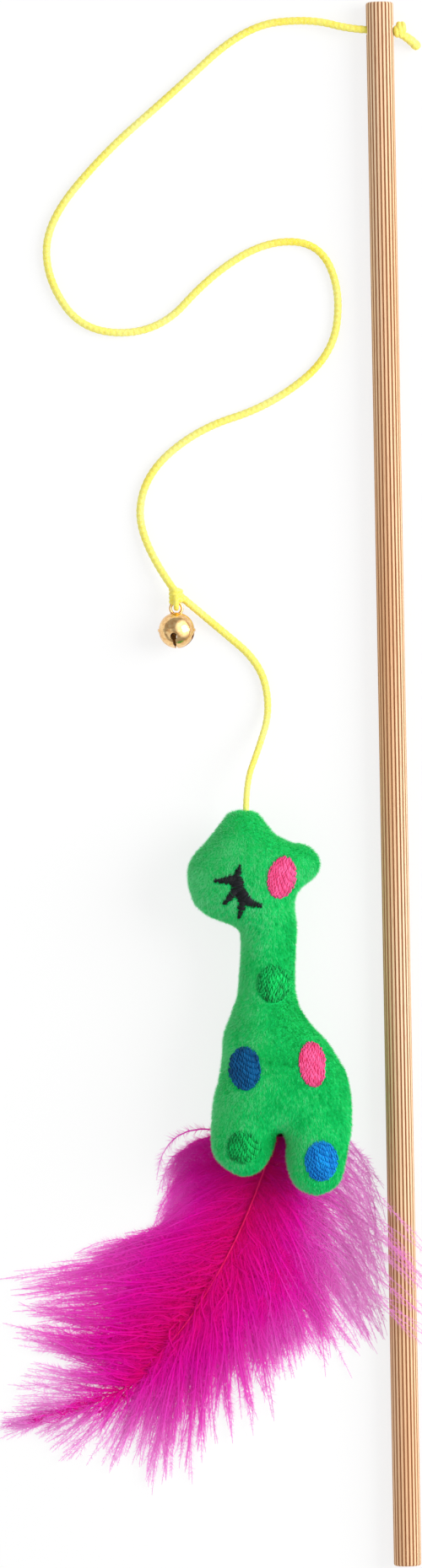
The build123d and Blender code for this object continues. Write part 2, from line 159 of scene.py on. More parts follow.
# Pile. Its lean and tint have a plain part, a part by patch and a part by grain.
PILE_COUNT = 180000
PILE_BACK_SHARE = 0.75
PILE_BACK_DEPTH = 3.0
PILE_LENGTH = (0.65, 1.15)
PILE_HALF_WIDTH = 0.075
PILE_FLOOR = 0.03
PILE_SINK = 0.15
PILE_SPOT_GAP = 0.15
PILE_EYE_GAP = 0.1
PILE_FACE_SHARE = 0.3
PILE_LEAN = (1.2, 0.35, 0.5)
PILE_TINT = (0.36, 0.3, 0.55)
PILE_TINT_SHAKE = 0.12
PILE_TINT_LIMITS = (0.02, 0.98)
PILE_SHAKE = 0.32
PILE_TWIST = 0.25
# Painted sheen and shade on the pile: paler where it faces left, where it slopes at the rim and over the
# head, darker where it faces right or towards +Y.
PILE_PAINTED_SHEEN = {"left": 0.5, "right": -0.22, "top": -0.1, "edge": 0.55, "head": 0.3}
EDGE_SLOPE = 0.5
HEAD_LENGTH = 34.0
HEAD_BLEND = 12.0
PATCH_SIZE = 6.0
SWIRL_SIZE = 11.0
SWIRL_ANGLE = 0.6
GRAIN_SIZE = 0.55
GRAIN_STRETCH = np.array([1.0, 0.5, 1.0])
FIBRE_GLOW = 0.35

# Where the colour maps start, and how far apart they keep the corners of a strand
MAP_EDGE = 0.02
PILE_MAP_NUDGE = 0.01
PLUME_MAP_SIZE = 0.94
PLUME_MAP_NUDGE = 0.008

# Threads: the darkest and the lightest colour
THREADS = {
    "pink_thread": ((220, 46, 106), (250, 112, 174)),
    "dark_green_thread": ((0, 92, 40), (8, 220, 108)),
    "dark_blue_thread": ((0, 58, 108), (6, 112, 176)),
    "bright_blue_thread": ((0, 92, 182), (16, 160, 236)),
    "black_thread": ((8, 10, 12), (34, 36, 40)),
    "sewing_thread": ((120, 4, 60), (170, 12, 92)),
}

# Embroidered spots: centre, half width, half height, lean to the right, thread's direction, thread
SPOTS = {
    "ear_patch": (8.7, -17.0, 3.5, 5.4, 14.0, 20.0, "pink_thread"),
    "neck_spot": (6.2, -44.0, 4.1, 4.8, 0.0, 12.0, "dark_green_thread"),
    "chest_spot": (-1.4, -65.3, 4.0, 5.5, 0.0, -8.0, "dark_blue_thread"),
    "flank_spot": (15.6, -64.6, 3.4, 5.7, -6.0, 4.0, "pink_thread"),
    "front_foot_spot": (-2.2, -85.4, 4.2, 4.2, 0.0, 10.0, "dark_green_thread"),
    "rear_foot_spot": (17.5, -89.2, 4.1, 5.2, 0.0, -14.0, "bright_blue_thread"),
}
PAD_RINGS = 6
PAD_SIDES = 36
PAD_LIFT = 0.18
PAD_SINK = 0.25
STITCH_GAP = 0.4
STITCH_LENGTH = 1.6
STITCH_RADIUS = 0.22
STITCH_RISE = 0.5
STITCH_SINK = 0.12
STITCH_ROUNDNESS = 0.6
STITCH_TAPER = np.array([0.6, 0.95, 1.0, 1.0, 0.95, 0.6])
STITCH_SIDES = 6
STITCH_OVERLAP = 0.1
STITCH_SHAKE = 0.07
LEAST_STITCH = 0.5
ROW_STEPS = 160
LEAST_ROW_STEPS = 8
ROW_START = 0.15
ROW_SHIFT = 0.33
ROW_SHIFTS = 3
# Painted light and shade on each spot: stitches are lighter round a point right of its middle and darker
# towards its rim, most of all on the left. The spread is random.
PAINTED_LIGHT_CENTRE = np.array([0.35, 0.0])
PAINTED_SHADE_WEIGHT = 0.4
SHADE_SPREAD = (-0.1, 0.6)
ABOVE_TOY = 60.0

# Closed eye: the lid's and the lashes' middle lines, with half widths
EYE_LIMBS = [
    [
        (-1.7, -13.7, 0.3), (-2.6, -16.2, 1.3), (-2.7, -19.2, 1.9),
        (-1.0, -22.0, 1.7), (1.0, -23.5, 1.1), (3.5, -24.1, 0.4),
    ],
    [(-2.8, -17.2, 1.3), (-5.4, -17.6, 1.05), (-8.2, -17.5, 0.5)],
    [(-2.8, -20.0, 1.2), (-4.4, -21.8, 1.0), (-6.0, -23.4, 0.4)],
    [(-1.0, -22.4, 1.3), (-1.7, -24.8, 1.05), (-2.2, -26.9, 0.45)],
]
EYE_BOX = ((-9.5, -28.0), (4.6, -12.5))
EYE_STEP = 0.12
EYE_STITCH_GAP = 0.24
EYE_STITCH_RADIUS = 0.16
EYE_STITCH_RISE = 0.55
EYE_EDGE_SHAKE = 0.26
EYE_LEAST_WIDTH = 0.25
EYE_SHAKE = 0.05

# Feathers: each quill's points, and guide barbs as root, bend, tip, fullness and where most barbs end.
# The other barbs lie between the guides.
FEATHER_ROOT = (7.0, -81.5)
MAIN_QUILL = [
    (*FEATHER_ROOT, 1.8), (0.0, -101.0, 2.2), (-10.5, -121.0, 3.2),
    (-22.0, -137.0, 3.0), (-39.0, -150.5, 1.8), (-57.0, -155.0, 1.0),
]
SIDE_QUILL = [(*FEATHER_ROOT, 1.2), (5.2, -98.0, 0.6), (2.6, -112.0, 0.5), (2.4, -125.0, 0.5)]
MAIN_LEFT = [
    (7, -81, 3.5, -88, -4, -97, 0.5, 1), (6, -83, -8, -82, -15, -94, 0.9, 1.1),
    (5.5, -85, -17, -80, -19, -92, 1, 1.2), (4.5, -87, -21, -83, -21.5, -102, 1, 1.15),
    (3.5, -90, -19, -91, -25, -109, 1, 1.05), (2, -95, -14, -100, -33, -114, 1, 0.9),
    (0, -100, -16, -107, -45, -114, 1, 0.75), (-2, -104.5, -20, -112, -57.1, -117.5, 1, 0.72),
    (-4.5, -109.5, -24, -117, -64.6, -121.5, 1, 0.72), (-9.5, -118.5, -30, -124, -63, -124.5, 1, 0.7),
    (-16, -127, -38, -130, -58.5, -128, 1, 0.68), (-22.5, -136.5, -41.5, -137, -61, -133.5, 1, 0.66),
    (-27.5, -143.5, -41.5, -141.5, -55.5, -137.5, 0.8, 0.75),
    (-32, -146.5, -44, -145.5, -57.5, -142.5, 0.55, 0.9),
    (-38.5, -149.5, -48, -149.5, -58, -149, 0.34, 1), (-43, -151, -50.5, -151.5, -58, -152, 0.34, 1),
    (-50.5, -153, -57, -154, -63, -155, 0.3, 1), (-56, -154.5, -60, -155.5, -65, -156.5, 0.25, 1),
]
MAIN_RIGHT = [
    (7, -81, 8.5, -88, 8, -98, 0.6, 1), (5.5, -85, 12, -90, 19, -99, 0.9, 1),
    (4.5, -88, 14, -96, 20, -106, 1, 1), (2.5, -93, 13, -106, 18.5, -119, 1, 1),
    (0.5, -99, 10, -115, 15.5, -133, 1, 0.95), (-2, -104.5, 5, -122, 9.4, -143.6, 1, 0.9),
    (-5, -111, -2, -130, 3.9, -154.8, 1, 0.85), (-7, -114, -9, -136, -8, -162.4, 1, 0.8),
    (-9.5, -118.5, -13.5, -140, -15.5, -173, 1, 0.75), (-14, -125, -19, -144, -22.5, -169, 0.95, 0.72),
    (-19, -131, -23, -147, -28, -170.5, 0.85, 0.72), (-23, -137, -28.5, -151, -34, -167.5, 0.75, 0.72),
    (-26.5, -142.5, -32, -153.5, -38, -166, 0.6, 0.8),
    (-33.5, -147.5, -40.5, -156.5, -47.5, -162.5, 0.42, 1),
    (-38, -149.5, -45, -155, -52.5, -159, 0.36, 1), (-44, -151.5, -49, -154.5, -55, -157, 0.36, 1),
    (-50.5, -153, -56, -155, -62, -157.5, 0.3, 1), (-56, -154.5, -60, -156, -65, -157, 0.25, 1),
]
SIDE_RIGHT = [
    (6.8, -84, 29, -79, 34.5, -95, 0.4, 1), (6.6, -86, 30, -84, 34.6, -108, 0.42, 1),
    (6.2, -89, 27.5, -92, 34.6, -119, 0.44, 1), (5.6, -93, 24.5, -99.5, 34.4, -127.5, 0.46, 1),
    (5, -97, 20, -108.5, 33, -135.5, 0.5, 1), (4.4, -101.5, 14, -114, 27, -138, 0.8, 0.8),
    (3.6, -106, 11, -120, 19.9, -141.4, 1, 0.85), (2.9, -111, 7, -126, 9.5, -146, 1, 0.9),
    (2.4, -118, 1, -132, -2, -147, 1, 0.95),
]
STRAYS = [
    (6.2, -89, 26, -92, 39.5, -110, 0.3, 1), (5, -97, 25, -106, 41, -124, 0.3, 1),
    (4.2, -103, 22, -118, 40, -136, 0.3, 1),
]

# How barbs lie: lowest and highest start, puff in the middle, and the wave of sparse barbs
MAIN_LIE = {"low": 0.6, "high": 2.3, "puff": 2.4, "wild": 0.1}
SIDE_LIE = {"low": 0.3, "high": 1.4, "puff": 1.4, "wild": 2.4}
STRAY_LIE = {"low": 1.0, "high": 1.6, "puff": 0.2, "wild": 1.2}
DOWN_LIE = {"low": 0.4, "high": 2.8, "puff": 1.6, "wild": 0.8}
MAIN_BARBS = 1080
SIDE_BARBS = 720
PLUMES = {
    "main_plume_left": (MAIN_LEFT, MAIN_BARBS, MAIN_LIE),
    "main_plume_right": (MAIN_RIGHT, MAIN_BARBS, MAIN_LIE),
    "side_plume": (SIDE_RIGHT, SIDE_BARBS, SIDE_LIE),
}
STRAY_BARBS = 40
STRAY_RISE = 7.0
STRAY_RISE_FROM = 36.0
STRAY_RISE_SPAN = 9.0
DOWN_BARBS = 520
DOWN_LENGTH = (0.3, 0.8)
DOWN_FULLNESS = 0.5

# Tufts: how many barbs, how much shorter the outer ones are, and how far the tips are drawn in.
# The other values say how barbs are spread and how far they reach.
LOCK_SIZE = 52
STRAY_LOCK = 6
CLUMP_SIZE = 11
LOCK_DRAW = (0.18, (0.4, 0.7))
CLUMP_DRAW = (0.07, (0.35, 0.8))
TUFT_FULLNESS = 0.4
LEAST_TUFT = 0.05
TUFT_POINT = 1.03
GUIDE_STEPS = 600
SPARSE_DENSITY = 1.8
REACH_MOST = 1.17
REACH_SPREAD = 0.12
REACH_LIMITS = (0.5, 1.12)
LONG_SHARE = 0.32
CORE_SPREAD = 0.5
ROOT_OVERLAP = 0.04
ROOT_SHAKE = 0.25
BEND_SHAKE = 0.9
TIP_SHAKE = 1.3

# Barbs and barbules
BARB_POINTS = 11
BARB_HALF_WIDTH = 0.19
BARB_LEAST_HALF_WIDTH = 0.035
BARB_TAPER = ((0.0, 0.35), (0.12, 1.0), (0.45, 0.8), (1.0, 0.1))
BARB_RIDGE = 0.1
BARB_TILT = 0.25
BARB_WAVE = 0.9
BARB_WAVES = (1.0, 3.5)
BARB_PUFF = (0.1, 1.0)
BARB_FLOOR = 0.25
TIP_DROOP = 0.35
LEAST_FULLNESS = 0.5
WIDTH_BY_FULLNESS = 1.3
ROOT_FLATNESS = 0.13
FULL_HEIGHT_FROM = 35.0
ROD_CLEARANCE = 0.4
ROD_EDGE_DEPTH = 5.0
BARBULE_STEP = 0.5
BARBULE_SPAN = (0.05, 0.99)
BARBULE_LENGTH = (1.0, 3.2)
BARBULE_GROWTH = (0.7, 1.3)
BARBULE_END = 6
BARBULE_SPARSE = 0.55
BARBULE_LEAN = (0.5, 1.6)
BARBULE_SHAKE = 0.25
BARBULE_FLOOR = 0.08
BARBULE_HALF_WIDTH = 0.05
BARB_TINT = (0.05, 0.9)
BARBULE_TINT_SHARE = 0.8
SHORT_FADE = 0.4
SPARSE_PALENESS = 0.75
SPARSE_BARB_PALENESS = 0.55

# Quills and the binding
MAIN_QUILL_RADII = (0.28, 0.1)
SIDE_QUILL_RADII = (0.22, 0.1)
QUILL_STEP = 0.7
THREAD_SIDES = 8
BINDING_TURNS = 5
BINDING_POINTS = 200
BINDING_RADIUS = 2.0
BINDING_Z = (1.05, 2.95)
BINDING_STRAND = 0.28


def linear(red, green, blue):
    """Shader colour from the 0 to 255 values that it shows as."""
    shown = np.array([red, green, blue]) / 255
    light = np.where(shown <= 0.04045, shown / 12.92, ((shown + 0.055) / 1.055) ** 2.4)
    return (*(float(x) for x in light), 1.0)


def grey(level):
    return (level, level, level, 1.0)


class Nodes:
    """Short calls for the nodes of one tree."""

    def __init__(self, tree):
        self.tree = tree

    def put(self, socket, value):
        if isinstance(value, bpy.types.NodeSocket):
            self.tree.links.new(value, socket)
        else:
            socket.default_value = value

    def add(self, kind, output, inputs, **settings):
        """One output of a new node."""
        node = self.tree.nodes.new(f"ShaderNode{kind}")
        for name, value in settings.items():
            setattr(node, name, value)
        for name, value in inputs.items():
            self.put(node.inputs[name], value)
        return node.outputs[output]

    def place(self, output="Object"):
        return self.add("TexCoord", output, {})

    def ray(self, kind):
        """One for a light path of this kind, and nought for others."""
        return self.add("LightPath", f"Is {kind} Ray", {})

    def math(self, operation, first, second=0.0):
        return self.add("Math", 0, {0: first, 1: second}, operation=operation)


class Paint(Nodes):
    """One procedural material."""

    def __init__(self, name):
        self.material = bpy.data.materials.new(name)
        self.material.use_nodes = True
        super().__init__(self.material.node_tree)
        self.tree.nodes.clear()
        self.shader = self.tree.nodes.new("ShaderNodeBsdfPrincipled")
        self.output = self.tree.nodes.new("ShaderNodeOutputMaterial")
        self.put(self.output.inputs["Surface"], self.shader.outputs["BSDF"])

    def set(self, **values):
        for name, value in values.items():
            self.put(self.shader.inputs[name.replace("_", " ")], value)

    def attribute(self, name):
        return self.add("Attribute", "Fac", {}, attribute_name=name)

    def stretch(self, vector, scale):
        return self.add("Mapping", "Vector", {"Vector": vector, "Scale": scale})

    def noise(self, vector, scale, detail):
        return self.add("TexNoise", "Fac", {"Vector": vector, "Scale": scale, "Detail": detail})

    def ramp(self, share, *stops):
        """Colours along a share. A stop is a place with a shown colour or a level of grey."""
        node = self.tree.nodes.new("ShaderNodeValToRGB")
        self.put(node.inputs["Fac"], share)
        elements = node.color_ramp.elements
        while len(elements) < len(stops):
            elements.new(0.5)
        for element, (at, colour) in zip(elements, stops):
            element.position = at
            element.color = linear(*colour) if isinstance(colour, tuple) else grey(colour)
        return node.outputs["Color"]

    def mix(self, share, first, second):
        return self.add("Mix", 2, {0: share, 6: first, 7: second}, data_type="RGBA")

    def blend(self, share, other):
        """Let another shader make up a share of the surface."""
        mixed = self.add("MixShader", "Shader", {0: share, 1: self.shader.outputs["BSDF"], 2: other})
        self.put(self.output.inputs["Surface"], mixed)

    def let_through(self, share, colour):
        """Pass a share of the light on, as a thin fibre does."""
        self.blend(share, self.add("BsdfTranslucent", "BSDF", {"Color": colour}))

    def bump(self, height, depth):
        self.set(Normal=self.add("Bump", "Normal", {"Distance": depth * MM, "Height": height}))


def add_object(name, data):
    thing = bpy.data.objects.new(name, data)
    bpy.context.collection.objects.link(thing)
    return thing


def make_view():
    camera = bpy.data.cameras.new("camera")
    camera.lens = LENS
    camera.sensor_width = SENSOR
    camera.clip_end = CLIP_END_M
    viewer = add_object("camera", camera)
    distance = PHOTO_HEIGHT * LENS / SENSOR
    viewer.location = Vector((*VIEW_CENTRE, VIEW_PLANE + distance)) * MM
    viewer.rotation_euler = (0, 0, VIEW_ROLL)
    bpy.context.scene.camera = viewer
    bpy.context.scene.view_settings.view_transform = "Standard"


def make_sky():
    """White to the camera, even light on the object, and a dim room with one window in polished faces."""
    world = bpy.data.worlds.new("sky")
    bpy.context.scene.world = world
    world.use_nodes = True
    sky = Nodes(world.node_tree)
    facing = {0: sky.place("Generated"), 1: WINDOW_DIRECTION}
    towards = sky.add("VectorMath", "Value", facing, operation="DOT_PRODUCT")
    room = sky.add("MapRange", "Result", {"Value": towards, **WINDOW_GLOW}, interpolation_type="SMOOTHSTEP")
    polished = sky.add("Mix", 0, {0: sky.ray("Glossy"), 2: SKY_LEVEL, 3: room})
    level = sky.add("Mix", 0, {0: sky.ray("Camera"), 2: polished, 3: 1.0})
    back = world.node_tree.nodes["Background"].inputs
    sky.put(back["Color"], WHITE)
    sky.put(back["Strength"], level)


def make_lamp(name, place, size, power):
    lamp = bpy.data.lights.new(name, "AREA")
    lamp.size = size
    lamp.energy = power
    holder = add_object(name, lamp)
    holder.location = place
    holder.rotation_euler = (-Vector(place)).to_track_quat("-Z", "Y").to_euler()


def unit(vectors):
    return vectors / np.maximum(np.linalg.norm(vectors, axis=-1, keepdims=True), TINY)


def mesh_object(name, verts, faces, material):
    """Smooth object from places in millimetres and faces of as many corners each."""
    faces = np.asarray(faces, np.int32)
    mesh = bpy.data.meshes.new(name)
    mesh.vertices.add(len(verts))
    mesh.vertices.foreach_set("co", np.ascontiguousarray(verts * MM, np.float32).ravel())
    mesh.loops.add(faces.size)
    mesh.loops.foreach_set("vertex_index", faces.ravel())
    mesh.polygons.add(len(faces))
    mesh.polygons.foreach_set("loop_start", np.arange(0, faces.size, faces.shape[1], dtype=np.int32))
    mesh.polygons.foreach_set("use_smooth", np.ones(len(faces), bool))
    mesh.update(calc_edges=True)
    mesh.materials.append(material)
    return add_object(name, mesh)


def make_floor():
    """White table that keeps a soft shadow. Seen straight or in a polished face, it mostly glows."""
    paint = Paint("floor")
    paint.set(Base_Color=grey(FLOOR_GREY), Roughness=1.0, Specular_IOR_Level=0.0)
    seen = paint.ray("Camera")
    for kind in ("Glossy", "Transmission"):
        seen = paint.math("MAXIMUM", seen, paint.ray(kind))
    glow = paint.add("Emission", "Emission", {"Color": WHITE})
    paint.blend(paint.math("MULTIPLY", seen, 1 - FLOOR_SHADOW_SHARE), glow)
    corners = FLOOR_SIZE / 2 * np.array([(-1, -1, 0), (1, -1, 0), (1, 1, 0), (-1, 1, 0)])
    floor = mesh_object("floor", corners, [(0, 1, 2, 3)], paint.material)
    floor.location.z = -FLOOR_DROP * MM


def note(thing, **values):
    """Numbers at each vertex that the material reads."""
    for name, numbers in values.items():
        layer = thing.data.attributes.new(name, "FLOAT", "POINT")
        layer.data.foreach_set("value", np.asarray(numbers, np.float32))


def lay_flat(thing, across, along):
    """Map that places each vertex by what its colour depends on."""
    layer = thing.data.uv_layers.new(name="OFBake")
    index = np.empty(len(thing.data.loops), np.int32)
    thing.data.loops.foreach_get("vertex_index", index)
    places = np.stack([across, along], 1)[index]
    layer.data.foreach_set("uv", np.ascontiguousarray(places, np.float32).ravel())


def spline_points(route):
    """Points along the smooth curve that has the route's points as its control points."""
    curve = bpy.data.curves.new("route", "CURVE")
    curve.dimensions = "3D"
    curve.resolution_u = SPLINE_STEPS
    spline = curve.splines.new("NURBS")
    spline.points.add(len(route) - 1)
    for point, at in zip(spline.points, route):
        point.co = (*at, 1.0)
    spline.order_u = 3
    spline.use_endpoint_u = True
    holder = bpy.data.objects.new("route", curve)
    mesh = bpy.data.meshes.new_from_object(holder)
    points = np.array([vertex.co[:] for vertex in mesh.vertices])
    bpy.data.objects.remove(holder)
    bpy.data.meshes.remove(mesh)
    bpy.data.curves.remove(curve)
    return points


def evenly(points, step):
    """The same line with points a step apart, and how far along each one is."""
    reach = np.r_[0, np.cumsum(np.linalg.norm(np.diff(points, axis=0), axis=1))]
    at = np.linspace(0, reach[-1], max(2, int(reach[-1] / step)))
    line = np.stack([np.interp(at, reach, column) for column in points.T], 1)
    return line, at


def tube_faces(rings, sides):
    ring = np.arange(rings - 1)[:, None] * sides
    side = np.arange(sides)[None]
    after = (side + 1) % sides
    corners = [ring + side, ring + after, ring + sides + after, ring + sides + side]
    return np.stack(corners, -1).reshape(-1, 4)


def tube(points, radii, sides):
    """Vertices and four-cornered faces of a tube, with its section carried along without twist."""
    ahead = unit(np.gradient(points, axis=0))
    across = [unit(np.cross(ahead[0], ASLANT))]
    for direction in ahead[1:]:
        across.append(unit(across[-1] - direction * np.dot(across[-1], direction)))
    across = np.array(across)
    upward = np.cross(ahead, across)
    turn = np.linspace(0, FULL_TURN, sides, endpoint=False)
    ring = np.cos(turn)[:, None] * across[:, None] + np.sin(turn)[:, None] * upward[:, None]
    verts = points[:, None] + np.asarray(radii)[:, None, None] * ring
    return verts.reshape(-1, 3), tube_faces(len(points), sides)


def gather(pieces):
    """Vertices and faces of several pieces as one."""
    verts = np.concatenate([piece[0] for piece in pieces])
    starts = np.cumsum([0] + [len(piece[0]) for piece in pieces[:-1]])
    faces = np.concatenate([piece[1] + start for piece, start in zip(pieces, starts)])
    return verts, faces


def end_rounds(reach, radius):
    """Share of the radius along a line whose ends are rounded off."""
    ends = np.minimum(reach, reach[-1] - reach) / radius
    return np.sqrt(np.clip(1 - (1 - np.clip(ends, 0, 1)) ** 2, LEAST_END, 1))


def satin_tube(points, radius, thickness=EVEN_THICKNESS):
    """Plaited satin cord along points, with its thickness given as distance along and share of the radius."""
    line, reach = evenly(points, CORD_STEP)
    shares = np.interp(reach, *zip(*thickness))
    verts, faces = tube(line, radius * shares * end_rounds(reach, radius), CORD_SIDES)
    turn = PLAIT_STRANDS * np.linspace(0, FULL_TURN, CORD_SIDES, endpoint=False)[None]
    phase = FULL_TURN * reach[:, None] / PLAIT_PITCH
    plait = np.maximum(np.cos(phase + turn), np.cos(phase - turn)).ravel()
    middle = np.repeat(line, CORD_SIDES, 0)
    verts = middle + (verts - middle) * (1 + PLAIT_DEPTH * (plait - 1))[:, None]
    return verts, faces, plait, line


def satin_paint():
    paint = Paint("satin_cord")
    plait = paint.attribute("plait")
    fine = paint.noise(paint.place(), 4200.0, 3.0)
    broad = paint.noise(paint.place(), 55.0, 2.0)
    silk = paint.ramp(broad, (0.32, (254, 236, 56)), (0.52, (255, 248, 112)), (0.72, (255, 252, 150)))
    # Painted shade: the cord's colour goes darker in the plait's valleys.
    painted_valley_shade = paint.math("MULTIPLY", paint.math("SUBTRACT", 1.0, plait), 0.18)
    shade = paint.mix(painted_valley_shade, silk, linear(248, 208, 30))
    glints = paint.ramp(fine, (0.45, 0.0), (0.68, 0.5))
    paint.set(Base_Color=paint.mix(glints, shade, linear(255, 253, 200)))
    paint.set(Roughness=0.45, Specular_IOR_Level=0.3)
    paint.bump(fine, 0.08)
    return paint.material


def satin_object(name, strands, material):
    """Satin strands as one piece."""
    thing = mesh_object(name, *gather(strands), material)
    note(thing, plait=np.concatenate([strand[2] for strand in strands]))
    return thing


def wound(centre, axis, radius, turns, pitch, start):
    """Points of a strand wound round an axis, X or Y, with its ends tucked in."""
    turn = np.linspace(0, FULL_TURN * turns, int(COIL_POINTS * turns))
    rise = pitch * (turn - turn.mean()) / FULL_TURN
    out = radius * np.interp(np.minimum(turn, turn[-1] - turn), [0, TUCK_ANGLE], [TUCK_SHARE, 1])
    around = [out * np.cos(turn + start), out * np.sin(turn + start)]
    columns = [rise, *around] if axis == "x" else [around[0], rise, around[1]]
    return np.stack(columns, 1) + np.array(centre)


def make_cords():
    """Both cords, the stopper's turns beside the rod, and the hitch's turns and loop above the bell."""
    material = satin_paint()
    upper_strand = satin_tube(spline_points(UPPER_ROUTE), CORD_DIAMETER / 2, TAIL_FLARE)
    lower_strand = satin_tube(spline_points(LOWER_ROUTE), CORD_DIAMETER / 2, CROWN_TAPER)
    stopper_coil = satin_tube(wound((STOPPER_X, HOLE_Y, ROD_Z), **STOPPER_COIL), STOPPER_STRAND)
    hitch_coil = satin_tube(wound(np.add(HITCH, HITCH_SHIFT), **HITCH_COIL), HITCH_STRAND)
    ring = np.linspace(0, FULL_TURN, LOOP_POINTS)
    loop = LOOP_RADIUS * np.stack([0 * ring, 1 + np.cos(ring), np.sin(ring)], 1) + np.array(BELL_PIVOT)
    upper = satin_object("upper_cord", [upper_strand], material)
    lower = satin_object("lower_cord", [lower_strand], material)
    stopper = satin_object("stopper_turns", [stopper_coil], material)
    hitch = satin_object("hitch_turns", [hitch_coil, satin_tube(loop, LOOP_STRAND)], material)
    for thing in (upper, lower, stopper, hitch):
        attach(thing, "line")
    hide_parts("cord_upper")
    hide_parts("cord_lower", "anchor_knot")
    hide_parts("stopper_knot")
    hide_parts("bell_hitch")


def dress(node, material):
    """A CAD piece in a better material."""
    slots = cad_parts[node].data.materials
    slots.clear()
    slots.append(material)


def paint_rod():
    """Pale wood with long streaks, and painted shade in its flutes."""
    paint = Paint("fluted_wood")
    place = paint.place()
    right = paint.math("SUBTRACT", paint.add("SeparateXYZ", "X", {0: place}), ROD_X * MM)
    above = paint.math("SUBTRACT", paint.add("SeparateXYZ", "Z", {0: place}), ROD_Z * MM)
    turn = paint.math("MULTIPLY", paint.math("ARCTAN2", above, right), ROD_FLUTES / FULL_TURN)
    flute = paint.math("FRACT", paint.math("ADD", turn, FLUTE_PHASE))
    off = paint.math("ABSOLUTE", paint.math("SUBTRACT", flute, 0.5))
    streaks = paint.noise(paint.stretch(place, (1500, 18, 1500)), 1.0, 4.0)
    broad = paint.noise(paint.stretch(place, (160, 7, 160)), 1.0, 3.0)
    pores = paint.noise(paint.stretch(place, (4200, 160, 4200)), 1.0, 2.0)
    crest = paint.ramp(broad, (0.3, (240, 194, 148)), (0.5, (252, 216, 174)), (0.7, (255, 232, 196)))
    fibre = paint.mix(paint.math("MULTIPLY", streaks, 0.45), crest, linear(222, 168, 124))
    # Painted shade: darkest along the middle of each flute, fading out up its sides.
    flute_shaded = paint.mix(paint.ramp(off, (0.08, 1), (0.22, 0.6), (0.33, 0)), fibre, linear(172, 110, 68))
    speck = paint.ramp(pores, (0.62, 0), (0.72, 0.5))
    paint.set(Base_Color=paint.mix(speck, flute_shaded, linear(190, 136, 98)))
    paint.set(Roughness=0.72, Specular_IOR_Level=0.25)
    paint.bump(paint.math("ADD", streaks, pores), 0.06)
    dress("rod", paint.material)


def paint_bell():
    """Thin bright gold plate with faint waves, and a steel pellet."""
    paint = Paint("gold_plate")
    place = paint.place()
    tarnish = paint.noise(place, 900.0, 3.0)
    paint.set(Base_Color=paint.ramp(tarnish, (0.35, (228, 176, 114)), (0.6, (250, 212, 152))))
    paint.set(Metallic=1.0, Roughness=paint.math("ADD", paint.math("MULTIPLY", tarnish, 0.14), 0.1))
    paint.bump(paint.noise(place, 320.0, 2.0), 0.12)
    for node in ("bell_cap", "bell_cup", "bell_loop"):
        dress(node, paint.material)
    steel = Paint("steel_pellet")
    spots = steel.noise(steel.place(), 1500.0, 2.0)
    steel.set(Base_Color=steel.ramp(spots, (0.4, 0.4), (0.6, 0.55)), Metallic=1.0, Roughness=0.35)
    dress("bell_pellet", steel.material)


def closed_curve(points, step):
    """Evenly spaced points on a smooth closed line through the given ones."""
    here, before, after, later = (np.roll(np.array(points), shift, 0)[:, None] for shift in (0, 1, -1, -2))
    share = np.linspace(0, 1, TOY_CURVE_STEPS, endpoint=False)[None, :, None]
    bend = 2 * before - 5 * here + 4 * after - later
    twist = 3 * here - before - 3 * after + later
    cubic = 2 * here + (after - before) * share + bend * share**2 + twist * share**3
    line = (cubic / 2).reshape(-1, 2)
    return evenly(np.vstack([line, line[:1]]), step)[0][:-1]


def inward(line):
    ahead = unit(np.roll(line, -1, 0) - np.roll(line, 1, 0))
    return np.stack([ahead[:, 1], -ahead[:, 0]], 1)


def inside(points, line):
    """Which points lie within a closed line."""
    crosses = np.zeros(len(points), bool)
    for (x0, y0), (x1, y1) in zip(line, np.roll(line, -1, 0)):
        if y0 != y1:
            between = (points[:, 1] < y0) != (points[:, 1] < y1)
            crosses ^= between & (points[:, 0] < x0 + (points[:, 1] - y0) * (x1 - x0) / (y1 - y0))
    return crosses


def clearance(points, line):
    return np.sqrt(((points[:, None] - line[None]) ** 2).sum(2).min(1))


def panel(line):
    """Triangles over the space within a closed line, finer towards its edge."""
    found = []
    for depth in TOY_RINGS:
        ring = line + depth * inward(line)
        found.append(ring[(clearance(ring, line) > TOY_RING_ROOM * depth) & inside(ring, line)])
    low, high = line.min(0), line.max(0)
    columns = np.arange(low[0], high[0], TOY_GRID)
    rows = np.arange(low[1], high[1], TOY_GRID * TOY_ROW_SHARE)
    grid = np.array([(x + TOY_GRID / 2 * (k % 2), y) for k, y in enumerate(rows) for x in columns])
    grid = grid[inside(grid, line)]
    found.append(grid[clearance(grid, line) > TOY_RINGS[-1] + TOY_GRID / 2])
    count = len(line)
    edges = [(k, (k + 1) % count) for k in range(count)]
    flat = [Vector(place) for place in np.vstack([line, *found]).tolist()]
    verts, _, faces, *_ = geometry.delaunay_2d_cdt(flat, edges, [], 1, TOY_TOLERANCE)
    return np.array([v[:] for v in verts]), np.array(faces), count


